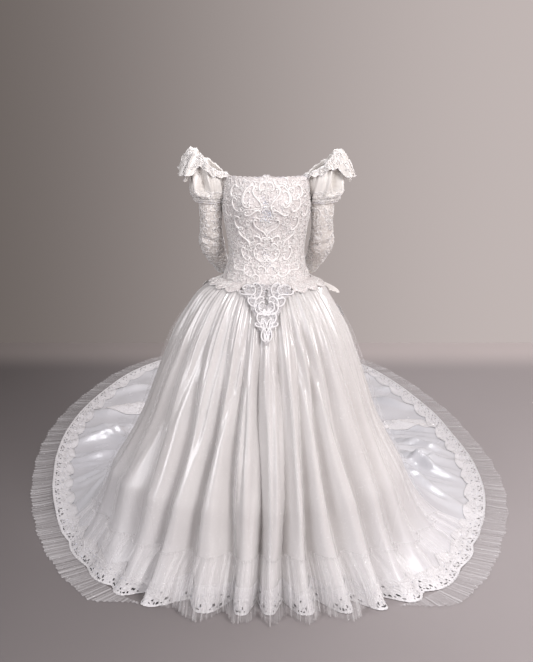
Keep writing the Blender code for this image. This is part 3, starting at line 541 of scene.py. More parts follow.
def crease_sink(angles, share):
    """Long soft troughs that wander down the skirt."""
    sink = np.zeros(share.shape)
    for start, end, low, high, width, depth in CREASES:
        way = (share - low) / (high - low)
        line = start + (end - start) * np.clip(way, 0, 1)
        fade = blend(0.0, 0.3, way) * (1 - blend(0.65, 1.0, way))
        sink += 1.4 * depth * fade * np.exp(-(((angles[None, :] - line) / width) ** 2))
    return sink


print("folds:", len(FOLDS), "creases:", len(CREASES))

# %% Satin of the skirt


def border_width(angles):
    """Length of the lace border along the skirt's lines, so that it is even across the hem."""
    before = skirt_base(angles - 0.5, run_length(angles - 0.5)[None, :])[0]
    after = skirt_base(angles + 0.5, run_length(angles + 0.5)[None, :])[0]
    along = after - before
    along /= np.linalg.norm(along, axis=-1, keepdims=True)
    turn = np.radians(angles)
    slant = np.abs(along[:, 0] * np.cos(turn) + along[:, 1] * np.sin(turn))
    return BORDER / np.maximum(slant, 0.4)


def gore_grid(start, end, step, rows, lift):
    """Points of a folded gore from the waist seam to the lace border."""
    angles = np.linspace(start, end, int(round((end - start) / step)) + 1)
    share = (np.linspace(0, 1, rows) ** 1.15)[:, None] * np.ones(len(angles))
    distance = share * (run_length(angles) - border_width(angles))
    reach = distance / run_length(angles)
    sink = fold_sink(angles, reach) + crease_sink(angles, reach) + gathers(angles, reach)
    return skirt_points(angles, distance, lift, sink)


seams = [-SIDE_SEAM, min(VALLEYS, key=lambda a: abs(a + 47.0)), min(VALLEYS, key=lambda a: abs(a - 44.5)), SIDE_SEAM]
for name, start, end in zip(("skirt_side_left", "skirt_front", "skirt_side_right"), seams, seams[1:]):
    grid = gore_grid(start, end, 0.42, 96, SATIN)
    gore = add_cloth("satin_" + name, grid, satin_ivory)
    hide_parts(name)

# %% [markdown]
# ## The train
#
# The train is flat cut satin that leaves the body at the side seams and runs out over the floor.
# Where it hangs it folds in, and where it lies it keeps soft uneven waves with bright tops. The
# waves are rounded hills along lines, some listed and more scattered at random with a fixed seed.

# %% Waves of the train
# points on the floor (x, y), then width and height
RIDGES = [
    ([(-0.62, 1.75), (-0.85, 1.62), (-1.05, 1.60)], 0.045, 0.020),
    ([(-0.55, 1.45), (-0.80, 1.32), (-1.00, 1.33)], 0.050, 0.022),
    ([(-0.62, 1.12), (-0.80, 0.98), (-0.98, 0.86), (-1.02, 0.78)], 0.036, 0.024),
    ([(-0.70, 0.78), (-0.84, 0.72), (-0.97, 0.70)], 0.030, 0.018),
    ([(-0.66, 0.55), (-0.82, 0.47), (-0.95, 0.42)], 0.032, 0.016),
    ([(-0.58, 0.42), (-0.70, 0.22), (-0.86, 0.10)], 0.035, 0.018),
    ([(-0.45, 1.95), (-0.66, 2.05)], 0.050, 0.018),
    ([(0.52, 1.90), (0.66, 1.98), (0.80, 1.92)], 0.045, 0.022),
    ([(0.55, 1.55), (0.72, 1.42), (0.90, 1.36)], 0.042, 0.022),
    ([(0.56, 1.20), (0.76, 1.08), (0.94, 1.10)], 0.036, 0.020),
    ([(0.58, 0.98), (0.80, 0.80), (0.98, 0.72)], 0.032, 0.022),
    ([(0.56, 0.80), (0.72, 0.56), (0.92, 0.42)], 0.032, 0.024),
    ([(0.52, 0.58), (0.68, 0.32), (0.86, 0.14)], 0.032, 0.022),
    ([(0.60, 1.72), (0.85, 1.66)], 0.030, 0.016),
    ([(-0.30, 1.30), (-0.42, 1.75), (-0.40, 2.20)], 0.060, 0.022),
    ([(0.28, 1.25), (0.36, 1.70), (0.46, 2.15)], 0.060, 0.022),
    ([(0.02, 1.35), (-0.05, 1.85), (0.04, 2.30)], 0.055, 0.020),
    ([(0.14, 1.60), (0.20, 2.05)], 0.035, 0.014),
    ([(-0.18, 1.55), (-0.22, 2.10)], 0.035, 0.014),
]


scatter = np.random.default_rng(5)
for _ in range(52):
    turn = math.radians(scatter.uniform(102, 168)) * scatter.choice([-1, 1])
    near, far = scatter.uniform(0.62, 1.3), scatter.uniform(0.25, 0.60)
    start = np.array([math.sin(turn), -math.cos(turn)]) * near
    side = scatter.uniform(-0.5, 0.5)
    steps = [(0.0, 0.0), (0.5, 0.25 * side), (1.0, side)]
    out = np.array([math.copysign(1.0, turn), scatter.uniform(-0.25, 0.35)])
    line = [tuple(start + far * (a * out + b * np.array([-out[1], out[0]]))) for a, b in steps]
    RIDGES.append((line, scatter.uniform(0.019, 0.034), scatter.uniform(0.006, 0.012)))


def ridge_rise(points):
    """Height of the soft waves where the train lies on the floor."""
    rise = np.zeros(points.shape[:-1])
    for line, width, height in RIDGES:
        line = np.array(line)
        nearest = np.full(points.shape[:-1], 9.0)
        beyond = np.zeros(points.shape[:-1])
        total = np.linalg.norm(np.diff(line, axis=0), axis=1).sum()
        passed = 0.0
        for start, end in zip(line, line[1:]):
            way = end - start
            long = np.linalg.norm(way)
            share = np.clip(((points[..., :2] - start) @ way) / long**2, 0, 1)
            off = np.linalg.norm(points[..., :2] - (start + share[..., None] * way), axis=-1)
            closer = off < nearest
            beyond = np.where(closer, (passed + share * long) / total, beyond)
            nearest = np.where(closer, off, nearest)
            passed += long
        taper = blend(-0.05, 0.25, beyond) * (1 - blend(0.8, 1.05, beyond))
        rise += 1.35 * height * taper * np.exp(-((nearest / (0.8 * width)) ** 2))
    return rise


def train_shape(angles, distance):
    """Sink of the folds where the train hangs, and rise of its waves on the floor."""
    base = skirt_base(angles, distance)
    height = base[..., 2] - FLOOR
    hanging = blend(0.05, 0.3, height)
    edge = run_length(angles) - distance
    x, y = base[..., 0], base[..., 1]
    wave = np.sin(y * 9.1 + x * 2.3 + 0.7) + np.sin(y * 5.3 - x * 6.1 + 1.9)
    small = np.sin(y * 31 + x * 9 + 2 * np.sin(x * 7)) + np.sin(y * 19 - x * 23 + 1.0)
    inner = blend(0.0, 0.25, edge)
    ripple = (0.007 + 0.0035 * wave + 0.0012 * small) * inner + 0.012 * (1 - blend(0.0, 0.2, edge))
    around = np.abs(angles)
    gather = 0.5 - 0.5 * np.cos((around - SIDE_SEAM) * math.tau / 10.0)
    depth = FOLD_AT_WAIST + 0.028 * blend(0.0, 0.45, SEAM_HEIGHT - height)
    seam = blend(0.0, 6.0, around - SIDE_SEAM)
    sink = depth * gather * hanging * blend(0.1, 0.4, edge)
    rise = (ripple + ridge_rise(base) * inner) * (1 - hanging) * seam
    return sink, rise


def even_angles(start, end, count):
    """Angles that part the hem between two angles into equal lengths."""
    angles = np.linspace(start, end, 801)
    hem = skirt_base(angles, run_length(angles)[None, :])[0]
    lengths = np.concatenate(([0.0], np.cumsum(np.linalg.norm(np.diff(hem, axis=0), axis=1))))
    return np.interp(np.linspace(0, lengths[-1], count), lengths, angles)


trains = {}
for name, sign in (("right", 1), ("left", -1)):
    angles = even_angles(SIDE_SEAM, 180.0, 200)
    angles = angles if sign > 0 else -angles[::-1]
    share = np.linspace(0, 1, 150)[:, None] * np.ones(len(angles))
    distance = share * (run_length(angles) - border_width(angles))
    grid = skirt_points(angles, distance, SATIN, *train_shape(angles, distance))
    train = add_cloth("satin_train_" + name, grid, satin_white)
    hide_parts("train_" + name)
    trains[name] = grid

# %% [markdown]
# ## Tulle
#
# Tulle is a net of fine thread: light goes through it, and it looks milky where it lies over
# satin. At this size a net can't be drawn thread by thread, so its finish lets a share of the
# light through. The share changes in long streaks, as the gathers make the net thicker, and
# glitter is scattered over it as small bright flecks.

# %% Tulle finishes


def tulle_finish(name, colour, thin, thick, streaks, glitter):
    """A net that lets light through, with long streaks and flecks of glitter."""
    made, tree, shader = new_finish(name, colour, 0.75)
    cloth = add_node(tree, "ShaderNodeTexCoord").outputs["UV"]
    along = add_node(tree, "ShaderNodeMapping", Vector=cloth, Scale=(streaks, 0.9, 1.0)).outputs["Vector"]
    fine = add_node(tree, "ShaderNodeMapping", Vector=cloth, Scale=(streaks * 2.6, 0.8, 1.0)).outputs["Vector"]
    broad = mask(tree, noise(tree, 1.0, 3.0, along), 0.35, 0.7, thin, thick)
    lines = mask(tree, noise(tree, 1.0, 1.0, fine), 0.66, 0.74, 0.0, 0.20)
    flecks = add_node(tree, "ShaderNodeTexVoronoi", {"feature": "F1"}, Vector=places(tree), Scale=260.0)
    chance = add_node(tree, "ShaderNodeSeparateColor", Color=flecks.outputs["Color"]).outputs[0]
    dot = mask(tree, flecks.outputs["Distance"], 0.30, 0.22)
    lucky = mask(tree, chance, 1.0 - glitter, 1.0 - glitter + 0.02)
    sparkle = add_node(tree, "ShaderNodeMath", {"operation": "MULTIPLY"}, at0=dot, at1=lucky).outputs[0]
    density = add_node(tree, "ShaderNodeMath", {"operation": "ADD"}, at0=broad, at1=lines).outputs[0]
    solid = add_node(tree, "ShaderNodeMath", {"operation": "ADD", "use_clamp": True}, at0=density, at1=sparkle)
    tree.links.new(solid.outputs[0], shader.inputs["Alpha"])
    tree.links.new(mask(tree, sparkle, 0.0, 1.0, 0.75, 0.12), shader.inputs["Roughness"])
    tree.links.new(mix_colours(tree, sparkle, colour, (1.0, 1.0, 1.0)), shader.inputs["Base Color"])
    shader.inputs["Sheen Weight"].default_value = 0.3
    return made


tulle_glitter = tulle_finish("tulle_glitter", (0.88, 0.875, 0.885), 0.02, 0.13, 16.0, 0.12)
tulle_gathered = tulle_finish("tulle_gathered", (0.92, 0.91, 0.915), 0.11, 0.36, 30.0, 0.06)
tulle_sheer = tulle_finish("tulle_sheer", (0.80, 0.79, 0.795), 0.08, 0.44, 85.0, 0.04)
print("tulles:", tulle_glitter.name, tulle_gathered.name, tulle_sheer.name)

# %% [markdown]
# ## The tulle overskirt and its ruffle
#
# A layer of glitter tulle is sewn into the waist with the satin. It rides on the crests and dips
# only partly into the valleys, so the folds show through it softly. Near the floor it ends in a
# gathered ruffle: the gathering thread leaves a crinkled heading, and below it the net fans out,
# falls to the floor in front and lies on the satin at the sides.

# %% Overskirt
OVERSKIRT_END = 0.89
OVERSKIRT_EDGE = 95.3
TULLE_DIP = 0.72


def overskirt_lift(share):
    """How far the tulle stands off the satin's crests."""
    return SATIN + 0.0006 + 0.005 * blend(0.0, 0.3, share)


def tulle_waves(angles, share):
    """Small uneven folds of the tulle's own."""
    wave = np.sin(angles * 0.83 + 1.0) + np.sin(angles * 1.57 + 2.0 * np.sin(angles * 0.2))
    fine = np.sin(angles * 3.9 + 1.3 * np.sin(angles * 0.5))
    return (0.0022 * (wave + 2.0) + 0.0007 * (fine + 1.0))[None, :] * blend(0.02, 0.3, share)


def overskirt_points(angles, share, extra=0.0):
    """Points on the tulle at shares of the way to the lace border."""
    angles = np.asarray(angles, float)
    distance = share * (run_length(angles) - border_width(angles))
    reach = distance / run_length(angles)
    sink = (fold_sink(angles, reach) + crease_sink(angles, reach)) * TULLE_DIP
    lift = overskirt_lift(share) + tulle_waves(angles, reach) + extra
    return skirt_points(angles, distance, lift, sink)


angles = np.linspace(-OVERSKIRT_EDGE, OVERSKIRT_EDGE, 470)
share = np.linspace(0, 1, 88)[:, None] ** 1.1 * OVERSKIRT_END * np.ones(len(angles))
overskirt = add_cloth("tulle_overskirt", overskirt_points(angles, share), tulle_glitter)
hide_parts("overskirt")

# %% Ruffle of the overskirt


def overskirt_ruffle(columns, rows):
    """Points of the ruffle: a heading, then pleats out to the floor or along the satin."""
    angles = np.linspace(-OVERSKIRT_EDGE, OVERSKIRT_EDGE, columns)
    turn = np.radians(angles)
    out = np.stack((np.sin(turn), -np.cos(turn), np.zeros(columns)), axis=-1)
    ones = np.ones((1, columns))
    head = overskirt_points(angles, OVERSKIRT_END * ones, 0.002)[0]
    over = overskirt_points(angles, (OVERSKIRT_END - 0.012) * ones, 0.006)[0]
    flat_run = run_length(angles)
    start_run = OVERSKIRT_END * (flat_run - border_width(angles))
    distance = np.minimum(start_run + 0.13, flat_run - border_width(angles) * 1.25)[None, :]
    lie = skirt_points(angles, distance, overskirt_lift(OVERSKIRT_END) + 0.008)[0]
    dip = fold_sink(angles, np.full((1, columns), 0.95))[0] * 0.80
    near = np.hypot(head[:, 0], head[:, 1])
    reach = np.maximum(0.070, hem_radius(angles) - near + 0.030 - dip)
    fall = head + out * reach[:, None]
    fall[:, 2] = FLOOR + 0.004
    side = blend(33.0, 42.0, np.abs(angles))[:, None]
    foot = fall * (1 - side) + lie * side
    phase = angles * 2.1 + 1.9 * np.sin(angles * 0.37) + 1.3 * np.sin(angles * 0.91)
    pleat = (0.5 + 0.5 * np.sin(phase * 1.7)) * (0.6 + 0.4 * np.sin(angles * 0.53 + 1.0))
    ragged = 0.5 + 0.5 * np.sin(angles * 7.7 + 2.0 * np.sin(angles * 2.9))
    grid = []
    for i in range(rows):
        way = i / (rows - 1)
        if way < 0.12:
            line = over + (head - over) * (way / 0.12)
            grid.append(line + out * (0.005 * (pleat + ragged) * (1 - way / 0.12))[:, None])
            continue
        way = (way - 0.12) / 0.88
        line = head + (foot - head) * way
        belly = 0.018 * math.sin(math.pi * way) + 0.020 * pleat * way + 0.018 * ragged * way**2
        line = line + out * (belly * (1 - 0.88 * side[:, 0]))[:, None]
        line[:, 2] = np.maximum(line[:, 2] + 0.004 * side[:, 0] * math.sin(math.pi * way), FLOOR + 0.003)
        grid.append(line)
    return np.array(grid)


ruffle = add_cloth("tulle_ruffle", overskirt_ruffle(1100, 15), tulle_gathered)
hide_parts("overskirt_ruffle")

# %% [markdown]
# ## Lace
#
# Corded lace is a net with thicker cord laid on it in flowers, leaves and scrolls. The net is a
# sheet with its own finish. Each cord is a real thin tube that follows a line on the sheet, so
# it catches the light and casts a small shadow. Cutwork, the open holes of the border, is left
# out of the sheet's faces.

# %% Lace finishes


def lace_finish(name, light, dark, scale, depth):
    """Lace ground: two tones with a raised cellular texture."""
    made, tree, shader = new_finish(name, light, 0.62)
    cells = add_node(tree, "ShaderNodeTexVoronoi", {"feature": "SMOOTH_F1"}, Vector=places(tree), Scale=scale)
    cells.inputs["Smoothness"].default_value = 0.4
    cloud = noise(tree, scale * 0.45, 3.0)
    threads = mask(tree, cells.outputs["Distance"], 0.15, 0.6)
    tree.links.new(mix_colours(tree, threads, light, dark), shader.inputs["Base Color"])
    relief = add_bump(tree, shader, cloud, depth * 1.5, 0.8)
    add_bump(tree, shader, cells.outputs["Distance"], depth, 0.7, relief)
    shader.inputs["Sheen Weight"].default_value = 0.25
    return made


def cord_finish(name, colour):
    """Twisted rayon cord with a soft shine."""
    made, tree, shader = new_finish(name, colour, 0.42)
    tree.links.new(mask(tree, noise(tree, 500.0, 1.0), 0.3, 0.7, 0.34, 0.55), shader.inputs["Roughness"])
    shader.inputs["Sheen Weight"].default_value = 0.3
    add_bump(tree, shader, noise(tree, 900.0, 1.0), 0.0003, 0.5)
    return made


lace_ground = lace_finish("lace_ground", (0.93, 0.905, 0.895), (0.70, 0.66, 0.65), 150.0, 0.0010)
lace_sleeve = lace_finish("lace_sleeve", (0.93, 0.91, 0.885), (0.68, 0.64, 0.605), 140.0, 0.0012)
lace_net = lace_finish("lace_net", (0.87, 0.86, 0.87), (0.71, 0.70, 0.71), 260.0, 0.0010)
cord_white = cord_finish("cord_white", (0.97, 0.95, 0.935))
cord_cool = cord_finish("cord_cool", (0.89, 0.88, 0.885))
print("laces:", lace_ground.name, lace_sleeve.name, lace_net.name)

# %% Cords and their motifs


def scroll(kind, curl, points=22):
    """A C or S scroll whose ends wind into spirals, one unit long, round its middle."""
    u = np.linspace(-1, 1, points * 6)
    size = np.abs(u)
    if kind == "C":
        heading = 1.9 * u + 0.85 * curl * np.sign(u) * size**3
    else:
        heading = 2.3 * size**1.4 + (curl - 0.7) * size**3.2 - 1.2
    step = (1 - 0.86 * size**1.3)[:, None]
    line = np.cumsum(step * np.stack((np.cos(heading), np.sin(heading)), axis=-1), axis=0)
    line = line[::6]
    line -= (line.max(axis=0) + line.min(axis=0)) / 2
    return line / np.ptp(line, axis=0).max()


def rose(count, points=26):
    """A flower's outline with so many petals, one unit wide, as one closed line."""
    turn = np.linspace(0, math.tau, points)
    reach = 0.33 + 0.17 * np.cos(turn * count)
    return np.stack((reach * np.cos(turn), reach * np.sin(turn)), axis=-1)


def leaf(points=9):
    """Outline and midrib of a leaf, one unit long."""
    t = np.linspace(0, 1, points)
    wide = 0.22 * np.sin(math.pi * t**0.8)
    rim = np.concatenate((np.stack((t, wide), -1), np.stack((t[::-1], -wide[::-1]), -1)))
    return [rim - (0.5, 0), np.stack((t * 0.8, np.zeros(points)), -1) - (0.5, 0)]


def turned(line, size, angle, mirror=False):
    """A motif's line, scaled, turned by degrees and perhaps mirrored."""
    line = line * size
    if mirror:
        line = line * (-1, 1)
        angle = -angle
    turn = math.radians(angle)
    spin = np.array([[math.cos(turn), math.sin(turn)], [-math.sin(turn), math.cos(turn)]])
    return line @ spin


def on_grid(grid, row, column):
    """Points between the points of a grid, and the directions out of it."""
    row = np.clip(row, 0, grid.shape[0] - 1.001)
    column = np.clip(column, 0, grid.shape[1] - 1.001)
    i, j = row.astype(int), column.astype(int)
    u, v = (row - i)[:, None], (column - j)[:, None]
    top = grid[i, j] * (1 - v) + grid[i, j + 1] * v
    low = grid[i + 1, j] * (1 - v) + grid[i + 1, j + 1] * v
    normal = np.cross(low - top, grid[i, j + 1] - grid[i, j])
    normal /= np.maximum(np.linalg.norm(normal, axis=1, keepdims=True), 1e-12)
    return top * (1 - u) + low * u, normal


def add_cords(name, paths, radius, finish, sides=4, high=0.8):
    """Round cords along paths of (points, normals), as one piece."""
    turn = np.arange(sides) * math.tau / sides + math.pi / 4
    points = []
    faces = []
    start = 0
    for line, normal in paths:
        along = np.gradient(line, axis=0)
        across = np.cross(along, normal)
        across /= np.maximum(np.linalg.norm(across, axis=1, keepdims=True), 1e-9)
        ends = np.minimum(np.arange(len(line)), np.arange(len(line))[::-1])
        thick = (radius * np.where(ends == 0, 0.45, 1.0))[:, None, None]
        ring = line[:, None] + across[:, None] * np.cos(turn)[None, :, None] * thick
        ring = ring + normal[:, None] * (np.sin(turn)[None, :, None] * high + 0.2) * thick
        points.append(ring.reshape(-1, 3))
        i, k = np.meshgrid(np.arange(len(line) - 1), np.arange(sides), indexing="ij")
        a = start + i * sides + k
        b = start + i * sides + (k + 1) % sides
        faces.append(np.stack((a, b, b + sides, a + sides), axis=-1).reshape(-1, 4))
        start += len(line) * sides
    made = add_mesh(name, np.concatenate(points), np.concatenate(faces).tolist(), finish)
    print(f"{name}: {len(paths)} cords, {len(made.data.polygons)} faces")
    return made


print("scroll points:", len(scroll("C", 4.0)))

# %% Beads


def add_beads(name, centres, radius, finish):
    """Small round beads at points, as one piece."""
    t = (1 + math.sqrt(5)) / 2
    corners = np.array([
        (-1, t, 0), (1, t, 0), (-1, -t, 0), (1, -t, 0), (0, -1, t), (0, 1, t),
        (0, -1, -t), (0, 1, -t), (t, 0, -1), (t, 0, 1), (-t, 0, -1), (-t, 0, 1),
    ]) / math.hypot(1, t)
    sides = np.array([
        (0, 11, 5), (0, 5, 1), (0, 1, 7), (0, 7, 10), (0, 10, 11), (1, 5, 9), (5, 11, 4),
        (11, 10, 2), (10, 7, 6), (7, 1, 8), (3, 9, 4), (3, 4, 2), (3, 2, 6), (3, 6, 8),
        (3, 8, 9), (4, 9, 5), (2, 4, 11), (6, 2, 10), (8, 6, 7), (9, 8, 1),
    ])
    centres = np.asarray(centres)
    radius = np.broadcast_to(radius, len(centres))
    points = centres[:, None] + corners[None] * radius[:, None, None]
    faces = sides[None] + (np.arange(len(centres)) * 12)[:, None, None]
    made = add_mesh(name, points.reshape(-1, 3), faces.reshape(-1, 3).tolist(), finish)
    print(f"{name}: {len(centres)} beads")
    return made


pearl, tree, shader = new_finish("pearl", (0.86, 0.83, 0.80), 0.22)
shader.inputs["Coat Weight"].default_value = 0.5
tree.links.new(
    mix_colours(tree, mask(tree, noise(tree, 40.0), 0.3, 0.7), (0.80, 0.79, 0.84), (0.90, 0.86, 0.82)),
    shader.inputs["Base Color"],
)
sequin, tree, shader = new_finish("sequin", (0.80, 0.84, 0.92), 0.12)
shader.inputs["Metallic"].default_value = 0.4
tree.links.new(
    mix_colours(tree, mask(tree, noise(tree, 60.0), 0.35, 0.65), (0.82, 0.85, 0.94), (0.98, 0.94, 0.95)),
    shader.inputs["Base Color"],
)
print("beads:", pearl.name, sequin.name)

# %% [markdown]
# ## The lace border
#
# A band of lace finishes the hem of the skirt and the train. Its outer edge is scalloped, its
# inner edge waves over the satin and is outlined with cord, and every hand's breadth there is a
# flower with cutwork round it. One function maps a place along the hem and across the band to a
# point on the cloth; the sheet, its holes and its cords all use it.

# %% Places on the border
REPEAT = 0.095
SCALLOP = 0.021
INNER_WAVE = 0.17
BORDER_ROWS = np.linspace(-0.65, 1.12, 48)


def border_sheet(start, end, shape):
    """Points over the border and a little beyond it: rows across the band, columns along the hem."""
    angles = even_angles(start, end, int(abs(end - start) * 9))
    run = run_length(angles)
    distance = run - border_width(angles) * (1 - BORDER_ROWS[:, None])
    held = np.minimum(distance, run)
    grid = skirt_points(angles, held, SATIN + 0.0005, *shape(angles, held))
    turn = np.radians(angles)
    grid[..., 0] += np.sin(turn) * (distance - held)
    grid[..., 1] -= np.cos(turn) * (distance - held)
    total = np.linalg.norm(np.diff(grid[-7], axis=0), axis=1).sum()
    return grid, total


def fold_only(angles, distance):
    """Sink of the front's folds, with no rise."""
    return fold_sink(angles, distance / run_length(angles)), 0.0


def on_border(grid, total, s, t):
    """Points and directions at a length along the hem and a share across the band."""
    row = (t - BORDER_ROWS[0]) / (BORDER_ROWS[-1] - BORDER_ROWS[0]) * (len(BORDER_ROWS) - 1)
    return on_grid(grid, row, s / total * (grid.shape[1] - 1))


print("scallops to the metre:", round(1 / SCALLOP))

# %% Border lace


def inner_edge(s):
    """Where the border's inner edge waves over the satin, as a share across."""
    return -0.12 - 0.42 * np.abs(np.sin(math.pi * s / INNER_WAVE)) ** 0.8


def outer_edge(s):
    """Where the scalloped outer edge is, as a share across."""
    return 0.97 + 0.06 * np.abs(np.sin(math.pi * s / SCALLOP))


def cut_away(s, t):
    """Whether a place is in one of the cutwork holes round a flower."""
    off = (s + REPEAT / 2) % REPEAT - REPEAT / 2
    hole = np.zeros(np.broadcast(s, t).shape, bool)
    for x, y, wide, tall in (
        (-0.021, 0.62, 0.0048, 0.10), (0.021, 0.62, 0.0048, 0.10), (0.0, 0.80, 0.0062, 0.07),
        (-0.011, 0.80, 0.0038, 0.06), (0.011, 0.80, 0.0038, 0.06), (0.0, 0.24, 0.0045, 0.07),
        (-0.030, 0.80, 0.0035, 0.06), (0.030, 0.80, 0.0035, 0.06),
    ):
        hole |= ((off - x) / wide) ** 2 + ((t - y) / tall) ** 2 < 0.72
    return hole


def add_border(name, start, end, shape, node):
    """The sheet of the border and its cords."""
    grid, total = border_sheet(start, end, shape)
    s = np.linspace(0, total, int(total / 0.0042))
    step = np.linspace(0, 1, 20)[:, None]
    across = inner_edge(s) + (outer_edge(s) - inner_edge(s)) * step
    along = np.broadcast_to(s, across.shape)
    points, normals = on_border(grid, total, along.ravel(), across.ravel())
    lift = np.where(across < 0.03, 0.0012, 0.0).ravel()[:, None]
    sheet = (points + normals * lift).reshape(*across.shape, 3)
    middle_s = (along[1:, 1:] + along[:-1, :-1]) / 2
    middle_t = (across[1:, 1:] + across[:-1, :-1]) / 2
    band = add_cloth(name, sheet, lace_net, holes=cut_away(middle_s, middle_t))
    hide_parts(node)
    rim = np.arange(0.002, total - 0.002, 0.005)
    places_on_band = [(rim, inner_edge(rim)), (rim, outer_edge(rim))]
    flower = rose(5)
    for k in range(1, int(total / REPEAT)):
        centre = k * REPEAT
        places_on_band.append((centre + flower[:, 0] * 0.026, 0.46 + flower[:, 1] * 0.026 / BORDER))
        for side in (-1, 1):
            rim_of_leaf = turned(leaf()[0], 0.026, 25.0, side < 0)
            places_on_band.append((centre + side * 0.028 + rim_of_leaf[:, 0], 0.24 + rim_of_leaf[:, 1] / BORDER))
            curl = turned(scroll("C", 3.8, 14), 0.022, 70.0, side < 0)
            places_on_band.append((centre + side * 0.038 + curl[:, 0], -0.22 + curl[:, 1] / BORDER))
    places_on_band = [(s, t) for s, t in places_on_band if s.min() > 0 and s.max() < total]
    paths = []
    for s, t in places_on_band:
        points, normals = on_border(grid, total, s, t)
        paths.append((points + normals * np.where(t < 0.03, 0.002, 0.0006)[:, None], normals))
    add_cords(name + "_cords", paths, 0.0011, cord_cool, 3)
    count = int(total / REPEAT) * 9
    s = np.linspace(0.01, total - 0.01, count)
    t = 0.36 + 0.34 * np.sin(np.arange(count) * 2.4)
    points, normals = on_border(grid, total, s, t)
    add_beads(name + "_sequins", points + normals * 0.0016, 0.0021, sequin)


add_border("lace_hem_front", -SIDE_SEAM, SIDE_SEAM, fold_only, "hem_lace_front")
add_border("lace_train_right", SIDE_SEAM, 180.0, train_shape, "train_lace_right")
add_border("lace_train_left", -180.0, -SIDE_SEAM, train_shape, "train_lace_left")

# %% [markdown]
# ## The pleated ruffle of the train
#
# Sheer tulle is pressed into narrow knife pleats and sewn under the lace, so that a see-through
# frill lies on the floor all round the train. Each pleat is a small step: up one side, flat over
# the top and down. Its outer edge is a little uneven, because pleats spread on the floor.

# %% Train ruffle
RUFFLE_START = 44.0
RUFFLE_WIDTH = 0.088


def train_ruffle(start, end, pleats):
    """Points of the pleated frill on the floor."""
    count = pleats * 4 + 1
    angles = even_angles(start, end, count)
    run = run_length(angles)
    hem = skirt_base(angles, run[None, :])[0]
    along = np.gradient(hem, axis=0)
    along /= np.linalg.norm(along, axis=1, keepdims=True)
    away = np.stack((along[:, 1], -along[:, 0], np.zeros(count)), axis=-1)
    away *= np.sign((away * hem * (1, 1, 0)).sum(axis=1, keepdims=True))
    step = np.arange(count) % 4
    pleat = np.where(step == 0, 0.0, np.where(step == 3, 0.0016, 0.0042))
    lean = np.where(step == 1, -0.0028, np.where(step == 2, 0.0022, 0.0))
    index = np.arange(count)
    ragged = 0.003 * np.sin(index * 0.71) + 0.003 * np.sin(index * 0.137 + 1.0)
    rim = np.where(np.abs(angles) > SIDE_SEAM, 0.012, 0.002)
    tucked = 0.1 + 0.9 * blend(RUFFLE_START, RUFFLE_START + 13.0, np.abs(angles))
    grid = []
    for way in np.linspace(0, 1, 7):
        reach = -0.004 + (RUFFLE_WIDTH + 0.004 + ragged * way) * way * tucked
        line = hem + away * reach[:, None] + along * (lean * (0.3 + 0.7 * way))[:, None]
        line[:, 2] = FLOOR + 0.0015 + rim * (1 - way) ** 2 * 0.8 + pleat * (0.35 + 0.65 * way)
        grid.append(line)
    return np.array(grid)


for name, start, end in (("right", RUFFLE_START, 180.0), ("left", -180.0, -RUFFLE_START)):
    frill = add_cloth("sheer_ruffle_" + name, train_ruffle(start, end, 240), tulle_sheer)
    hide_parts("train_ruffle_" + name)

# %% [markdown]
# ## Medallions on the train
#
# Lace medallions are sewn on the satin away from the border: a patch of lace, a flower, and
# leaves and scrolls on both sides of it. Each lies on the train's own waves.

# %% Medallions


def patch_places(grid, centre, x, y):
    """Row and column on a grid of points for offsets in metres from a place on the floor."""
    nearest = np.linalg.norm(grid[..., :2] - centre, axis=-1)
    i, j = np.unravel_index(nearest.argmin(), nearest.shape)
    down = (grid[i + 1, j] - grid[i - 1, j])[:2] / 2
    across = (grid[i, j + 1] - grid[i, j - 1])[:2] / 2
    found = np.linalg.solve(np.stack((down, across), axis=1), np.stack((x, y)))
    return i + found[0], j + found[1]


def add_medallion(name, side, centre, length, slant):
    """A lace patch with its cords, laid on one half of the train."""
    grid = trains[side]
    spin = math.radians(slant)
    r = np.linspace(0.02, 1, 12)[:, None]
    turn = np.linspace(0, math.tau, 60)[None, :]
    rim = r * (1 - 0.10 * r * np.abs(np.sin(turn * 4)))
    x, y = rim * np.cos(turn) * length / 2, rim * np.sin(turn) * length * 0.24

    def lay(x, y, lift):
        x, y = x * math.cos(spin) - y * math.sin(spin), x * math.sin(spin) + y * math.cos(spin)
        points, normals = on_grid(grid, *patch_places(grid, centre, x.ravel(), y.ravel()))
        return points + normals * lift, normals

    sheet = lay(x, y, 0.0014)[0].reshape(12, 60, 3)
    add_cloth("lace_" + name, sheet, lace_net)
    lines = [rose(5) * 0.045, np.stack((x[-1], y[-1]), -1)]
    for way in (-1, 1):
        lines += [turned(part, 0.05, 0.0) + (way * length * 0.30, 0) for part in leaf()]
        lines += [turned(scroll("C", 4.0, 14), 0.032, 90 * way) + (way * length * 0.16, 0.012)]
        lines += [turned(scroll("S", 4.0, 14), 0.036, 20 * way) + (way * length * 0.40, -0.006)]
    paths = [lay(line[:, 0], line[:, 1], 0.0022) for line in lines]
    add_cords("cords_" + name, paths, 0.0016, cord_white, 3)


add_medallion("medallion_left", "left", (-0.70, 1.37), 0.26, -6.0)
add_medallion("medallion_right", "right", (0.67, 1.16), 0.30, 12.0)

# %% [markdown]
# ## The fitted bodice
#
# The bodice is cut to the body in panels, with the bust shaped by cups and darts, and covered
# all over with corded lace. The sheet below follows the CAD model's sections. Its upper edge is
# straight off the shoulders, dips at the armholes and ends in tiny scallops.

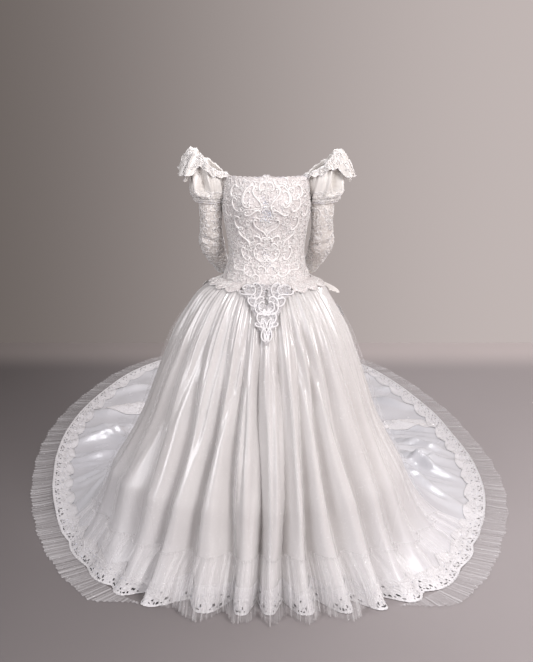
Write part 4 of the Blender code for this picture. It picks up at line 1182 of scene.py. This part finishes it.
# %% Form of the bodice
# height, half width, front, back
BODICE = [
    (-0.090, 0.150, 0.118, 0.112), (-0.060, 0.137, 0.104, 0.096), (-0.036, 0.129, 0.096, 0.086),
    (0.000, 0.125, 0.088, 0.080), (0.045, 0.129, 0.094, 0.082), (0.091, 0.136, 0.106, 0.087),
    (0.140, 0.145, 0.116, 0.092), (0.179, 0.147, 0.119, 0.094), (0.220, 0.1445, 0.112, 0.093),
    (0.262, 0.141, 0.100, 0.090), (0.290, 0.139, 0.095, 0.088),
]
WAIST_SEAM = SEAM_HEIGHT + FLOOR
NECKLINE = 0.262
CUP_X = 0.066
CUP_HEIGHT = 0.165
CUP_DEPTH = 0.017


def bodice_top(angles):
    """Height of the upper edge: straight front, armholes, lower back, and tiny scallops."""
    turn = np.abs(angles)
    bump = 0.008 * (1 - blend(0.0, 14.0, turn))
    armhole = 0.075 * np.exp(-(((turn - 92.0) / 12.0) ** 2))
    scallop = 0.003 * np.abs(np.sin(np.radians(angles) * 21))
    return NECKLINE + bump + scallop - armhole - 0.022 * blend(95.0, 125.0, turn)


def body_points(angles, height, out=SATIN):
    """Points on the bodice, or so far out from its inside."""
    angles, height = np.broadcast_arrays(np.asarray(angles, float), height)
    turn = np.radians(angles)
    radius = ellipse(turn, *(smooth(BODICE, column, height) for column in (1, 2, 3))) + out
    x = radius * np.sin(turn)
    y = -radius * np.cos(turn)
    for side in (-1, 1):
        far = ((x - side * CUP_X) / 0.046) ** 2 + ((height - CUP_HEIGHT) / 0.05) ** 2
        y = y - CUP_DEPTH * np.exp(-far) * blend(0.0, 0.05, -y) * (y < 0)
    return np.stack((x, y, height), axis=-1)


def bodice_sheet(name, start, end, columns):
    """A panel of the bodice from the neckline down to the waist seam."""
    angles = np.linspace(start, end, columns)
    top = bodice_top(angles)
    share = np.linspace(0, 1, 64)[:, None]
    grid = body_points(angles, top - (top - WAIST_SEAM) * share)
    panel = add_cloth("lace_" + name, grid, lace_ground)
    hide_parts(name)


bodice_sheet("bodice_front", -90.0, 90.0, 130)
bodice_sheet("bodice_back_right", 90.0, 180.0, 60)
bodice_sheet("bodice_back_left", -180.0, -90.0, 60)

# %% [markdown]
# ## Corded motifs on the bodice
#
# Scrolls, flowers and leaves in cord are laid out first where the eye looks: a scroll on each
# cup, long scrolls from the neckline to the middle, a pair of S scrolls and a heart of two C scrolls down
# the middle. They are mirrored about the centre. Small motifs in a jittered pattern then fill
# what is left, except on the plain panels beside the middle. A random generator with a fixed
# seed gives the same jitter each time.

# %% Layout of motifs


def motif_lines(kind, size, angle, mirror=False):
    """The lines of one motif, turned and scaled."""
    if kind in "CS":
        found = [scroll(kind, 4.8, 24 if size > 0.03 else 14)]
    elif kind == "F":
        found = [rose(5, 21)]
    else:
        found = leaf(6)
    return [turned(line, size, angle, mirror) for line in found]


# kind, distance from the centre, height, size, angle
BIG_MOTIFS = [
    ("C", 0.066, 0.204, 0.070, 105), ("C", 0.071, 0.200, 0.040, 100), ("C", 0.106, 0.172, 0.046, 60),
    ("S", 0.032, 0.196, 0.066, 110), ("S", 0.048, 0.150, 0.046, 30), ("C", 0.018, 0.236, 0.030, 120),
    ("S", 0.023, 0.092, 0.066, 96), ("C", 0.038, 0.062, 0.032, 200), ("C", 0.012, 0.060, 0.022, 160),
    ("C", 0.029, 0.000, 0.066, 24), ("C", 0.027, -0.004, 0.036, 15), ("C", 0.038, 0.036, 0.030, 150),
    ("C", 0.018, -0.040, 0.034, 200), ("C", 0.072, -0.050, 0.052, 30), ("C", 0.040, -0.066, 0.030, 200),
    ("C", 0.105, 0.112, 0.046, 80), ("S", 0.090, 0.062, 0.054, 100), ("C", 0.096, 0.006, 0.046, 60),
    ("S", 0.112, -0.048, 0.044, 60), ("C", 0.120, 0.218, 0.038, 100), ("C", 0.142, 0.150, 0.038, 70),
]
# bare panels: centre, height, half width, half height
BARE = [(0.047, 0.098, 0.012, 0.032), (0.0, -0.070, 0.020, 0.016), (0.046, 0.176, 0.010, 0.008)]
FILL_STEP = 0.0170


def body_angle(s):
    """Angle round the body at a length round from the centre front."""
    return np.degrees(np.asarray(s) / 0.128)


def on_bodice(s, height, out):
    """Points at lengths round the body and heights, and the directions out of it."""
    angles = body_angle(s)
    here = body_points(angles, height, SATIN + out)
    across = body_points(angles + 1.0, height) - body_points(angles - 1.0, height)
    up = body_points(angles, height + 0.002) - body_points(angles, height - 0.002)
    normal = np.cross(across, up)
    return here, normal / np.linalg.norm(normal, axis=1, keepdims=True)


def is_bare(s, height):
    """Whether a place is on one of the plain panels."""
    return any(((abs(s) - x) / w) ** 2 + ((height - z) / h) ** 2 < 1 for x, z, w, h in BARE)


def fill(rng, start, end, low, high, step, chance=1.0):
    """A jittered pattern of small motifs: kind, place, height, size and angle."""
    found = []
    for row, height in enumerate(np.arange(low, high, step * 0.86)):
        for s in np.arange(start + (row % 2) * step / 2, end, step):
            kind = "CCSFL"[rng.integers(5)]
            near = rng.normal(0, step * 0.12, 2)
            size = step * rng.uniform(0.95, 1.3)
            angle = rng.uniform(0, 360)
            if rng.uniform() < chance:
                found.append((kind, s + near[0], height + near[1], size, angle))
    return found


def bodice_paths(motifs, out):
    """Cord paths of motifs that stay on the bodice."""
    paths = []
    for kind, s, height, size, angle in motifs:
        for line in motif_lines(kind, size, angle, s < 0):
            along = s + line[:, 0]
            up = height + line[:, 1]
            inside = (up < bodice_top(body_angle(along)) - 0.0005) & (up > WAIST_SEAM + 0.001)
            if inside.all() and np.abs(along).max() < 0.4:
                paths.append(on_bodice(along, up, out))
    return paths


rng = np.random.default_rng(11)
big = [(k, side * s, z, size, angle) for k, s, z, size, angle in BIG_MOTIFS for side in (-1, 1)]
small = []
for motif in fill(rng, -0.40, 0.40, WAIST_SEAM, 0.275, FILL_STEP):
    s, height = motif[1:3]
    near_big = any(math.hypot(s - b[1], height - b[2]) < b[3] * 0.24 for b in big)
    if not near_big and not is_bare(s, height):
        small.append(motif)
print("motifs on the bodice:", len(big), "large,", len(small), "small")

# %% Cords and beads of the bodice
add_cords("bodice_scrolls", bodice_paths(big, 0.0026), 0.0027, cord_white, 5, 1.0)
add_cords("bodice_cords", bodice_paths(small, 0.0010), 0.0019, cord_white, 3)

beads = []
for i in range(150):
    s = rng.normal(0, 0.010)
    height = rng.uniform(0.120, 0.205)
    beads.append((s * (1.3 - abs(height - 0.165) * 9), height))
for i in range(60):
    beads.append((rng.normal(0, 0.014), rng.uniform(-0.05, 0.03)))
beads += [(rng.uniform(-0.19, 0.19), rng.uniform(-0.085, 0.255)) for _ in range(520)]
beads = np.array([b for b in beads if not is_bare(*b)])
beads = beads[beads[:, 1] < bodice_top(body_angle(beads[:, 0])) - 0.002]
places_of_beads, facing = on_bodice(beads[:, 0], beads[:, 1], 0.0022)
add_beads("bodice_sequins", places_of_beads[:420], 0.0015, sequin)
add_beads("bodice_pearls", places_of_beads[420:], 0.0016, pearl)
edge = np.arange(-0.40, 0.40, 0.0045)
places_of_beads, facing = on_bodice(edge, bodice_top(body_angle(edge)) - 0.0015, 0.0010)
add_beads("neckline_pearls", places_of_beads, 0.0018, pearl)

# %% [markdown]
# ## The lace over the waist
#
# A pointed applique of thicker, cooler cord lies over the waist seam at the centre front: two
# large scrolls face each other, and smaller scrolls and leaves run down to the point. Scalloped
# lace like the bodice's covers the rest of the seam. Both lie on the tulle.

# %% Basque
# length below the waist seam, half width
BASQUE = [
    (0.004, 0.066), (0.030, 0.078), (0.055, 0.070), (0.075, 0.056), (0.100, 0.048),
    (0.125, 0.036), (0.150, 0.031), (0.172, 0.020), (0.195, 0.012), (0.220, 0.003),
]


def waist_lace_point(x, down, out):
    """Points over the tulle at distances from the centre line and lengths below the seam."""
    x, down = np.broadcast_arrays(np.asarray(x, float), down)
    flat_x, flat_down = x.ravel(), np.maximum(down.ravel(), 0.0)
    angles = np.zeros(flat_x.shape)
    for _ in range(5):
        place = skirt_base(angles, flat_down[None, :])[0]
        angles = np.degrees(np.arcsin(np.clip(flat_x / np.hypot(place[:, 0], place[:, 1]), -1, 1)))
    lift = overskirt_lift(flat_down / run_length(angles)) + 0.0016 + out
    placed = skirt_points(angles, flat_down[None, :], lift[None, :])[0]
    return placed.reshape(*x.shape, 3), angles.reshape(x.shape)


basque_down = np.linspace(0.004, 0.220, 70)
scalloped = 1 + 0.06 * np.abs(np.sin(basque_down * math.pi / 0.016))
basque_half = smooth(BASQUE, 1, basque_down) * scalloped
across = np.linspace(-1, 1, 56)
basque_grid, _ = waist_lace_point(basque_half[:, None] * across, basque_down[:, None] * np.ones(56), 0.001)
down_cell = (basque_down[1:] + basque_down[:-1])[:, None] / 2
x_cell = (basque_half[1:, None] * (across[1:] + across[:-1])[None, :]) / 2
basque_holes = (np.abs(x_cell) < 0.0045 + 0.010 * (down_cell - 0.03)) & (down_cell > 0.03) & (down_cell < 0.085)
lace_basque = lace_finish("lace_basque", (0.66, 0.64, 0.645), (0.48, 0.46, 0.465), 150.0, 0.0008)
basque = add_cloth("lace_basque", basque_grid, lace_basque, holes=basque_holes)
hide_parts("basque")

# kind, distance from the centre, length below the seam, size, angle
BASQUE_MOTIFS = [
    ("C", 0.031, 0.034, 0.066, -84), ("C", 0.044, 0.034, 0.036, -84), ("S", 0.062, 0.052, 0.044, 55),
    ("C", 0.024, 0.088, 0.062, 92), ("C", 0.017, 0.092, 0.034, 92), ("C", 0.048, 0.080, 0.034, 50),
    ("C", 0.022, 0.132, 0.036, 78), ("L", 0.010, 0.150, 0.040, 78), ("L", 0.007, 0.186, 0.046, 84),
    ("S", 0.020, 0.160, 0.032, 74), ("C", 0.064, 0.020, 0.032, 150), ("L", 0.006, 0.112, 0.024, 85),
]
basque_fill = fill(rng, -0.07, 0.07, 0.010, 0.20, 0.0145)
basque_fill = [m for m in basque_fill if abs(m[1]) < smooth(BASQUE, 1, m[2]) - 0.007 and abs(m[1]) > 0.006]


def waist_paths(motifs, out):
    """Cord paths of motifs that lie over the waist, given by distance from the centre and length."""
    lines = []
    for kind, x, down, size, angle in motifs:
        lines += [(x + line[:, 0], down - line[:, 1]) for line in motif_lines(kind, size, angle, x < 0)]
    joined = [np.concatenate(part) for part in zip(*lines)]
    here, _ = waist_lace_point(joined[0], joined[1], out)
    side, _ = waist_lace_point(joined[0] + 0.002, joined[1], out)
    below, _ = waist_lace_point(joined[0], joined[1] + 0.002, out)
    normal = np.cross(below - here, side - here)
    normal /= np.linalg.norm(normal, axis=1, keepdims=True)
    cuts = np.cumsum([len(line) for line, _ in lines])[:-1]
    return list(zip(np.split(here, cuts), np.split(normal, cuts)))


mirrored = [(k, side * x, down, size, angle) for k, x, down, size, angle in BASQUE_MOTIFS for side in (-1, 1)]
add_cords("basque_scrolls", waist_paths(mirrored, 0.0034), 0.0029, cord_cool, 5, 1.0)
add_cords("basque_cords", waist_paths(basque_fill, 0.0020), 0.0014, cord_cool, 3)
dots = np.array([(rng.uniform(-1, 1), rng.uniform(0.008, 0.19)) for _ in range(190)])
spots, _ = waist_lace_point(dots[:, 0] * smooth(BASQUE, 1, dots[:, 1]), dots[:, 1], 0.0034)
add_beads("basque_beads", spots, 0.0016, sequin)

# %% Hip lace
HIP_LACE_START = 34.0
HIP_LACE_DEPTH = 0.052


def hip_scallop(angles):
    """Depth of the hip lace: rounded scallops."""
    share = (np.abs(angles) - 37.0) / (180.0 - 37.0)
    return HIP_LACE_DEPTH - 0.013 * (1 - np.abs(np.sin(share * 9 * math.pi)))


def hip_points(angles, down, out):
    """Points over the tulle round the hips."""
    lift = overskirt_lift(down / run_length(angles)) + 0.0016 + out
    return skirt_points(angles, down, lift)


for name, sign in (("right", 1), ("left", -1)):
    angles = np.linspace(HIP_LACE_START, 180.0, 170)
    angles = angles if sign > 0 else -angles[::-1]
    down = hip_scallop(angles) * np.linspace(0.02, 1, 22)[:, None]
    sheet = hip_points(angles, down, 0.0006)
    lace = add_cloth("lace_hip_" + name, sheet, lace_ground)
    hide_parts("hip_lace_" + name)
    paths = []
    for kind, s, height, size, angle in fill(rng, 0.0, 0.36, 0.006, 0.050, 0.0155):
        for line in motif_lines(kind, size, angle):
            column = (s + line[:, 0]) / 0.37 * 169
            row = (height + line[:, 1]) / HIP_LACE_DEPTH * 21
            if column.min() > 0 and column.max() < 168 and row.min() > 0 and row.max() < 21:
                points, normals = on_grid(sheet, row, column)
                paths.append((points + normals * 0.0006, normals))
    rim, normals = on_grid(sheet, np.full(160, 20.6), np.linspace(0.5, 168.5, 160))
    paths.append((rim, normals))
    add_cords("hip_cords_" + name, paths, 0.0015, cord_white, 3)
    add_beads("hip_beads_" + name, rim[::2] + normals[::2] * 0.001, 0.0015, pearl)

# %% [markdown]
# ## Sleeves
#
# The fitted sleeves bend at the elbow and end in a point over the wrist. Each is cut in two
# pieces, a top and an under sleeve, with seams at the front and back of the arm. The cloth
# creases across the inside of the elbow. Corded lace covers most of it, and satin shows between.

# %% Form of the sleeves
# section, out from the centre, back, height, radius
ARM = [
    (0, 0.189, 0.003, 0.178, 0.0370), (1, 0.189, 0.006, 0.125, 0.0355), (2, 0.189, 0.014, 0.095, 0.0350),
    (3, 0.190, 0.028, 0.062, 0.0360), (4, 0.191, 0.045, 0.036, 0.0395), (5, 0.188, 0.066, 0.012, 0.0400),
    (6, 0.182, 0.092, -0.012, 0.0365), (7, 0.175, 0.120, -0.036, 0.0330), (8, 0.167, 0.147, -0.059, 0.0290),
    (9, 0.161, 0.169, -0.077, 0.0265), (10, 0.156, 0.187, -0.091, 0.0255),
]
CUFF_POINT = 0.018


def arm_points(side, at, turn):
    """Points of a sleeve: sections down the arm and turns round it, 0 outside, 90 in front."""
    out, back, height, radius = (smooth(ARM, column, at) for column in (1, 2, 3, 4))
    centre = np.stack((side * out, back, height), axis=-1)
    run = np.gradient(centre, axis=0)
    run[0] = (0, 0, -1)
    run /= np.linalg.norm(run, axis=1, keepdims=True)
    across = np.array([side, 0, 0]) - run * (run @ np.array([side, 0, 0]))[:, None]
    across /= np.linalg.norm(across, axis=1, keepdims=True)
    forward = np.cross(run, across) * side
    turn = np.radians(turn)
    near_elbow = at[:, None] - (3.2 if side < 0 else 3.7) + 0.35 * np.cos(turn)
    inside = blend(-0.2, 0.9, np.sin(turn))
    crease = -0.0055 * np.exp(-((near_elbow / 0.20) ** 2)) + 0.0018 * np.exp(-(((near_elbow - 0.6) / 0.35) ** 2))
    crease = crease + 0.003 * np.exp(-(((near_elbow + 0.55) / 0.3) ** 2))
    slack = 0.0012 * np.sin(at[:, None] * 2.6 + 1.5 * np.sin(turn + 0.6)) * np.sin(turn * 2 + at[:, None])
    reach = radius[:, None] + crease * inside + slack
    ring = across[:, None] * np.cos(turn)[..., None] + forward[:, None] * np.sin(turn)[..., None]
    points = centre[:, None] + ring * reach[..., None]
    tip = blend(9.0, 10.0, at)[:, None] * np.maximum(np.cos(turn), 0.0) ** 2 * CUFF_POINT
    return points + run[:, None] * tip[..., None]


SLEEVE_ROWS = 76
for side_name, side in (("left", -1), ("right", 1)):
    at = np.linspace(0, 10, SLEEVE_ROWS)
    for half, start, end in (("top", -90.0, 90.0), ("under", 90.0, 270.0)):
        turn = np.linspace(start, end, 34)
        sheet = arm_points(side, at, turn if side < 0 else turn[::-1])
        name = f"sleeve_{half}_{side_name}"
        cloth = add_cloth("lace_" + name, sheet, lace_sleeve)
        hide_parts(name)
        paths = []
        spots = []
        for kind, s, down, size, angle in fill(rng, 0.004, 0.106, 0.006, 0.355, 0.0165, 0.88):
            lines = motif_lines(kind, size, angle)
            for line in lines:
                column = (s + line[:, 0]) / 0.110 * 33
                row = (down + line[:, 1]) / 0.362 * (SLEEVE_ROWS - 1)
                if column.min() > 0 and column.max() < 33 and row.min() > 0 and row.max() < SLEEVE_ROWS - 1:
                    points, normals = on_grid(sheet, row, column)
                    paths.append((points + normals * 0.0012, normals))
            if rng.uniform() < 0.55:
                point, normal = on_grid(sheet, np.array([down / 0.362 * (SLEEVE_ROWS - 1)]), np.array([s / 0.110 * 33]))
                spots.append(point[0] + normal[0] * 0.0014)
        add_cords("cords_" + name, paths, 0.0019, cord_white, 3)
        add_beads("beads_" + name, spots, 0.0015, sequin)

# %% [markdown]
# ## Puffs and shoulder ruffles
#
# Satin is gathered into the armhole above and into the sleeve below, so it puffs out in soft
# uneven folds. A wide ruffle stands on its upper edge, leans outwards and rolls over in lobes.
# A line of beads and cord finishes the ruffle's edge and the puff's lower band.

# %% Form of the puffs
# row, height near the body and far from it, near and far reach, half depth
PUFF = [
    (0, 0.1700, 0.1740, 0.1500, 0.238, 0.043), (1, 0.178, 0.184, 0.146, 0.247, 0.052),
    (2, 0.192, 0.202, 0.144, 0.251, 0.058), (3, 0.210, 0.226, 0.142, 0.253, 0.061),
    (4, 0.228, 0.256, 0.141, 0.251, 0.060), (5, 0.246, 0.288, 0.140, 0.245, 0.055),
    (6, 0.258, 0.318, 0.140, 0.236, 0.048),
]
satin_puff = satin_finish("satin_puff", (0.81, 0.785, 0.75), (0.76, 0.73, 0.695), 0.34, 0.008)
satin_puff.node_tree.nodes["Principled BSDF"].inputs["Sheen Weight"].default_value = 0.3


def puff_points(side, row, turn, out):
    """Points of a puff: rows from its lower band up, turns round it, 0 outside, 90 in front."""
    near_height, far_height, near, far, half_depth = (smooth(PUFF, column, row) for column in (1, 2, 3, 4, 5))
    turn = np.radians(turn)
    outness = (1 + np.cos(turn)) / 2
    x = (near + far) / 2 + ((far - near) / 2 + out) * np.cos(turn)
    y = ARM[0][2] - (half_depth + out) * np.sin(turn)
    height = near_height + (far_height - near_height) * outness
    half, front, back = (smooth(BODICE, column, height) for column in (1, 2, 3))
    deep = np.where(y < 0, front, back)
    least = half * np.sqrt(np.clip(1 - (y / deep) ** 2, 0, 1)) + 0.0022
    x = np.where(np.abs(y) < deep, np.maximum(x, least), x)
    return np.stack((side * x, y, height), axis=-1)


def puff_folds(side, row, turn):
    """In and out of the puff's folds."""
    turn = np.radians(turn) + (0.35 if side > 0 else 0.0)
    way = row / 6
    belly = np.sin(math.pi * np.clip(way, 0, 1)) ** 0.6
    slope = turn + 0.9 * (way - 0.5)
    gather = 0.0045 * np.sin(slope * 6 + 0.8 * np.sin(turn * 2)) + 0.0018 * np.sin(slope * 15 + np.sin(turn * 3))
    hollow = -0.030 * np.exp(-(((slope - 1.38) / 0.20) ** 2) - ((way - 0.62) / 0.25) ** 2)
    ridge = 0.013 * np.exp(-(((slope - 0.98) / 0.14) ** 2)) * blend(0.15, 0.5, way)
    fold = 0.012 * np.exp(-(((slope - 1.85) / 0.17) ** 2)) * blend(0.25, 0.6, way)
    bowl = 0.010 * np.exp(-(((way - 0.34 + 0.10 * (turn - 1.4)) / 0.10) ** 2)) * np.exp(-(((turn - 1.3) / 0.8) ** 2))
    band = -0.005 * np.exp(-(((way - 0.20) / 0.045) ** 2))
    return (gather + hollow + ridge + fold + bowl) * belly + band


def ruffle_points(side, way, turn):
    """Points of the ruffle: way 0 at the seam and 1 at the edge."""
    radians = np.radians(turn)
    outness = blend(-0.7, 1.0, np.cos(radians))
    hang = blend(0.35, 1.0, np.cos(radians - 0.12))
    root = puff_points(side, np.full(way.shape, 6.0), turn, 0.0)
    steps = [0.0, 0.25, 0.5, 0.75, 1.0]
    reach = np.interp(way, steps, [0, 0.001, 0.007, 0.013, 0.017])
    reach = reach + hang * np.interp(way, steps, [0, -0.002, 0.004, 0.020, 0.030])
    rise = np.interp(way, steps, [0, 0.007, 0.006, -0.004, -0.015])
    rise = rise + outness * np.interp(way, steps, [0, 0.012, 0.020, 0.012, 0.004])
    rise = rise + hang * np.interp(way, steps, [0, 0.004, 0.002, -0.018, -0.046])
    phase = radians * 9 + 1.2 * np.sin(radians * 2 + (0.6 if side > 0 else 0.0)) + (2.0 if side > 0 else 0.4)
    lobe = np.sin(phase) + 0.45 * np.sin(phase * 2.3 + 1.0)
    small = np.sin(radians * 37 + 2 * np.sin(radians * 5))
    strength = way**1.2 * (0.35 + 0.65 * outness)
    reach = reach + (0.013 * lobe + 0.0020 * small) * strength
    rise = rise + (0.013 * np.sin(phase * 0.62 + 1.1) + 0.007 * np.sin(phase * 1.9) + 0.002 * small) * strength
    away = np.stack((side * np.cos(radians), -np.sin(radians), np.zeros_like(radians)), axis=-1)
    return root + away * reach[..., None] + rise[..., None] * np.array([0.0, 0.0, 1.0])


PUFF_COLUMNS = 150
for side_name, side in (("left", -1), ("right", 1)):
    turn = np.linspace(0, 360, PUFF_COLUMNS, endpoint=False)
    turn = turn if side < 0 else turn[::-1]
    row = np.linspace(6, 0, 40)[:, None] * np.ones(PUFF_COLUMNS)
    wide = np.broadcast_to(turn, row.shape)
    body = puff_points(side, row, wide, puff_folds(side, row, wide))
    puff = add_cloth("satin_puff_" + side_name, body, satin_puff, around=True)
    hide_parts("puff_" + side_name)
    way = np.linspace(0, 1, 28)[:, None] * np.ones(PUFF_COLUMNS)
    frill_grid = ruffle_points(side, way, np.broadcast_to(turn, way.shape))
    frill = add_cloth("satin_ruffle_" + side_name, frill_grid, satin_puff, around=True)
    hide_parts("shoulder_ruffle_" + side_name)
    paths = []
    spots = []
    for grid, edge_row, deep_row, span in ((frill_grid, 26.7, 15.5, 0.026), (body, 38.6, 21.5, 0.042)):
        around = np.linspace(0, PUFF_COLUMNS - 1.01, 300)
        for share in (0.0, 1.0):
            swing = 0.0 if share == 0 else 0.7 * np.sin(around * 0.9)
            points, normals = on_grid(grid, np.full(300, edge_row + (deep_row - edge_row) * share) + swing, around)
            paths.append((points + normals * 0.0008, normals))
        points, normals = on_grid(grid, np.full(150, edge_row), around[::2])
        spots.append(points + normals * 0.0020)
        length = np.linalg.norm(np.diff(grid[int(edge_row)], axis=0), axis=1).sum()
        for kind, s, height, size, angle in fill(rng, 0.0, length, 0.0, span + 0.004, 0.0135):
            for line in motif_lines(kind, size, angle):
                column = (s + line[:, 0]) / length * (PUFF_COLUMNS - 1)
                row = edge_row + (deep_row - edge_row) * (height + line[:, 1]) / span
                if column.min() > 0 and column.max() < PUFF_COLUMNS - 1.1 and 0 < row.min() and row.max() < len(grid) - 1.1:
                    points, normals = on_grid(grid, row, column)
                    paths.append((points + normals * 0.0008, normals))
                    if rng.uniform() < 0.4:
                        spots.append(points[:1] + normals[:1] * 0.0022)
    add_cords("cords_puff_" + side_name, paths, 0.0015, cord_white, 3)
    add_beads("beads_puff_" + side_name, np.concatenate(spots), 0.0018, pearl)

# %% [markdown]
# ## Buttons and bow
#
# The buttons keep their CAD shape and only get a pearl finish. The bow at the back waist is
# satin ribbon: two loops, a knot, one tail to the side and one down the back.

# %% Buttons
for name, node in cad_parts.items():
    if "button" in name:
        node.material_slots[0].material = pearl
print("buttons:", sum("button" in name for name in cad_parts))

# %% Bow
# row, turn from the centre back, length down, lift, half width
LOOP = [
    (0, 6, 0.125, 0.0022, 0.012), (1, 16, 0.125, 0.0026, 0.024), (2, 32, 0.122, 0.0045, 0.030),
    (3, 50, 0.114, 0.007, 0.022), (4, 67, 0.102, 0.013, 0.010), (5, 50, 0.110, 0.020, 0.022),
    (6, 32, 0.118, 0.026, 0.030), (7, 16, 0.122, 0.024, 0.024), (8, 6, 0.125, 0.016, 0.012),
]
HIP_LOOP = [
    (0, 6, 0.125, 0.0022, 0.012), (1, 16, 0.122, 0.0026, 0.024), (2, 32, 0.114, 0.006, 0.030),
    (3, 54, 0.106, 0.012, 0.024), (4, 88, 0.097, 0.015, 0.014), (5, 54, 0.102, 0.024, 0.024),
    (6, 32, 0.110, 0.030, 0.030), (7, 16, 0.120, 0.026, 0.024), (8, 6, 0.125, 0.016, 0.012),
]
SIDE_TAIL = [
    (0, 5, 0.150, 0.0018, 0.010), (1, 12, 0.163, 0.0018, 0.016), (2, 20, 0.177, 0.0020, 0.021),
    (3, 29, 0.190, 0.0024, 0.024), (4, 38, 0.199, 0.0035, 0.026), (5, 48, 0.206, 0.006, 0.027),
    (6, 59, 0.208, 0.010, 0.027), (7, 70, 0.205, 0.015, 0.022),
]
LONG_TAIL = [
    (0, 2, 0.1438, 0.0108, 0.010), (1, 5, 0.165, 0.0040, 0.014), (2, 8, 0.200, 0.0018, 0.019),
    (3, 11, 0.260, 0.0015, 0.025), (4, 13, 0.340, 0.0013, 0.028), (5, 15, 0.440, 0.0013, 0.030),
    (6, 16, 0.540, 0.0013, 0.030),
]


def ribbon(rows, side, spread, flare, steps=60, columns=15):
    """Points of a satin ribbon over the skirt's back; flare lifts its lower edge off the skirt."""
    grid = []
    share = np.linspace(-1, 1, columns)
    for at in np.linspace(0, len(rows) - 1, steps):
        turn, down, lift, half_width = (float(smooth(rows, column, at)) for column in (1, 2, 3, 4))
        curl = 0.003 * np.sin(share * 4 + at) * min(1.0, at)
        wide = np.degrees(half_width / 0.3) * share if spread == "across" else np.zeros(columns)
        angles = side * (180.0 - turn - wide)
        reach = down + (share * half_width if spread == "down" else np.zeros(columns))
        tilt = flare * min(lift, half_width) * share
        grid.append(skirt_points(angles, reach[None, :], (lift + SATIN + tilt + np.abs(curl))[None, :])[0])
    return np.array(grid)


satin_bow = satin_finish("satin_bow", (0.84, 0.81, 0.77), (0.78, 0.75, 0.71), 0.34, 0.002)
for name, rows, side, spread, flare in (
    ("bow_loop_left", LOOP, -1, "down", 0.0), ("bow_loop_right", HIP_LOOP, 1, "down", 0.8),
    ("bow_tail_right", SIDE_TAIL, 1, "down", 0.0), ("bow_tail_left", LONG_TAIL, -1, "across", 0.0),
):
    strip = add_cloth("satin_" + name, ribbon(rows, side, spread, flare), satin_bow)
    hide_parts(name)
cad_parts["bow_knot"].material_slots[0].material = satin_bow
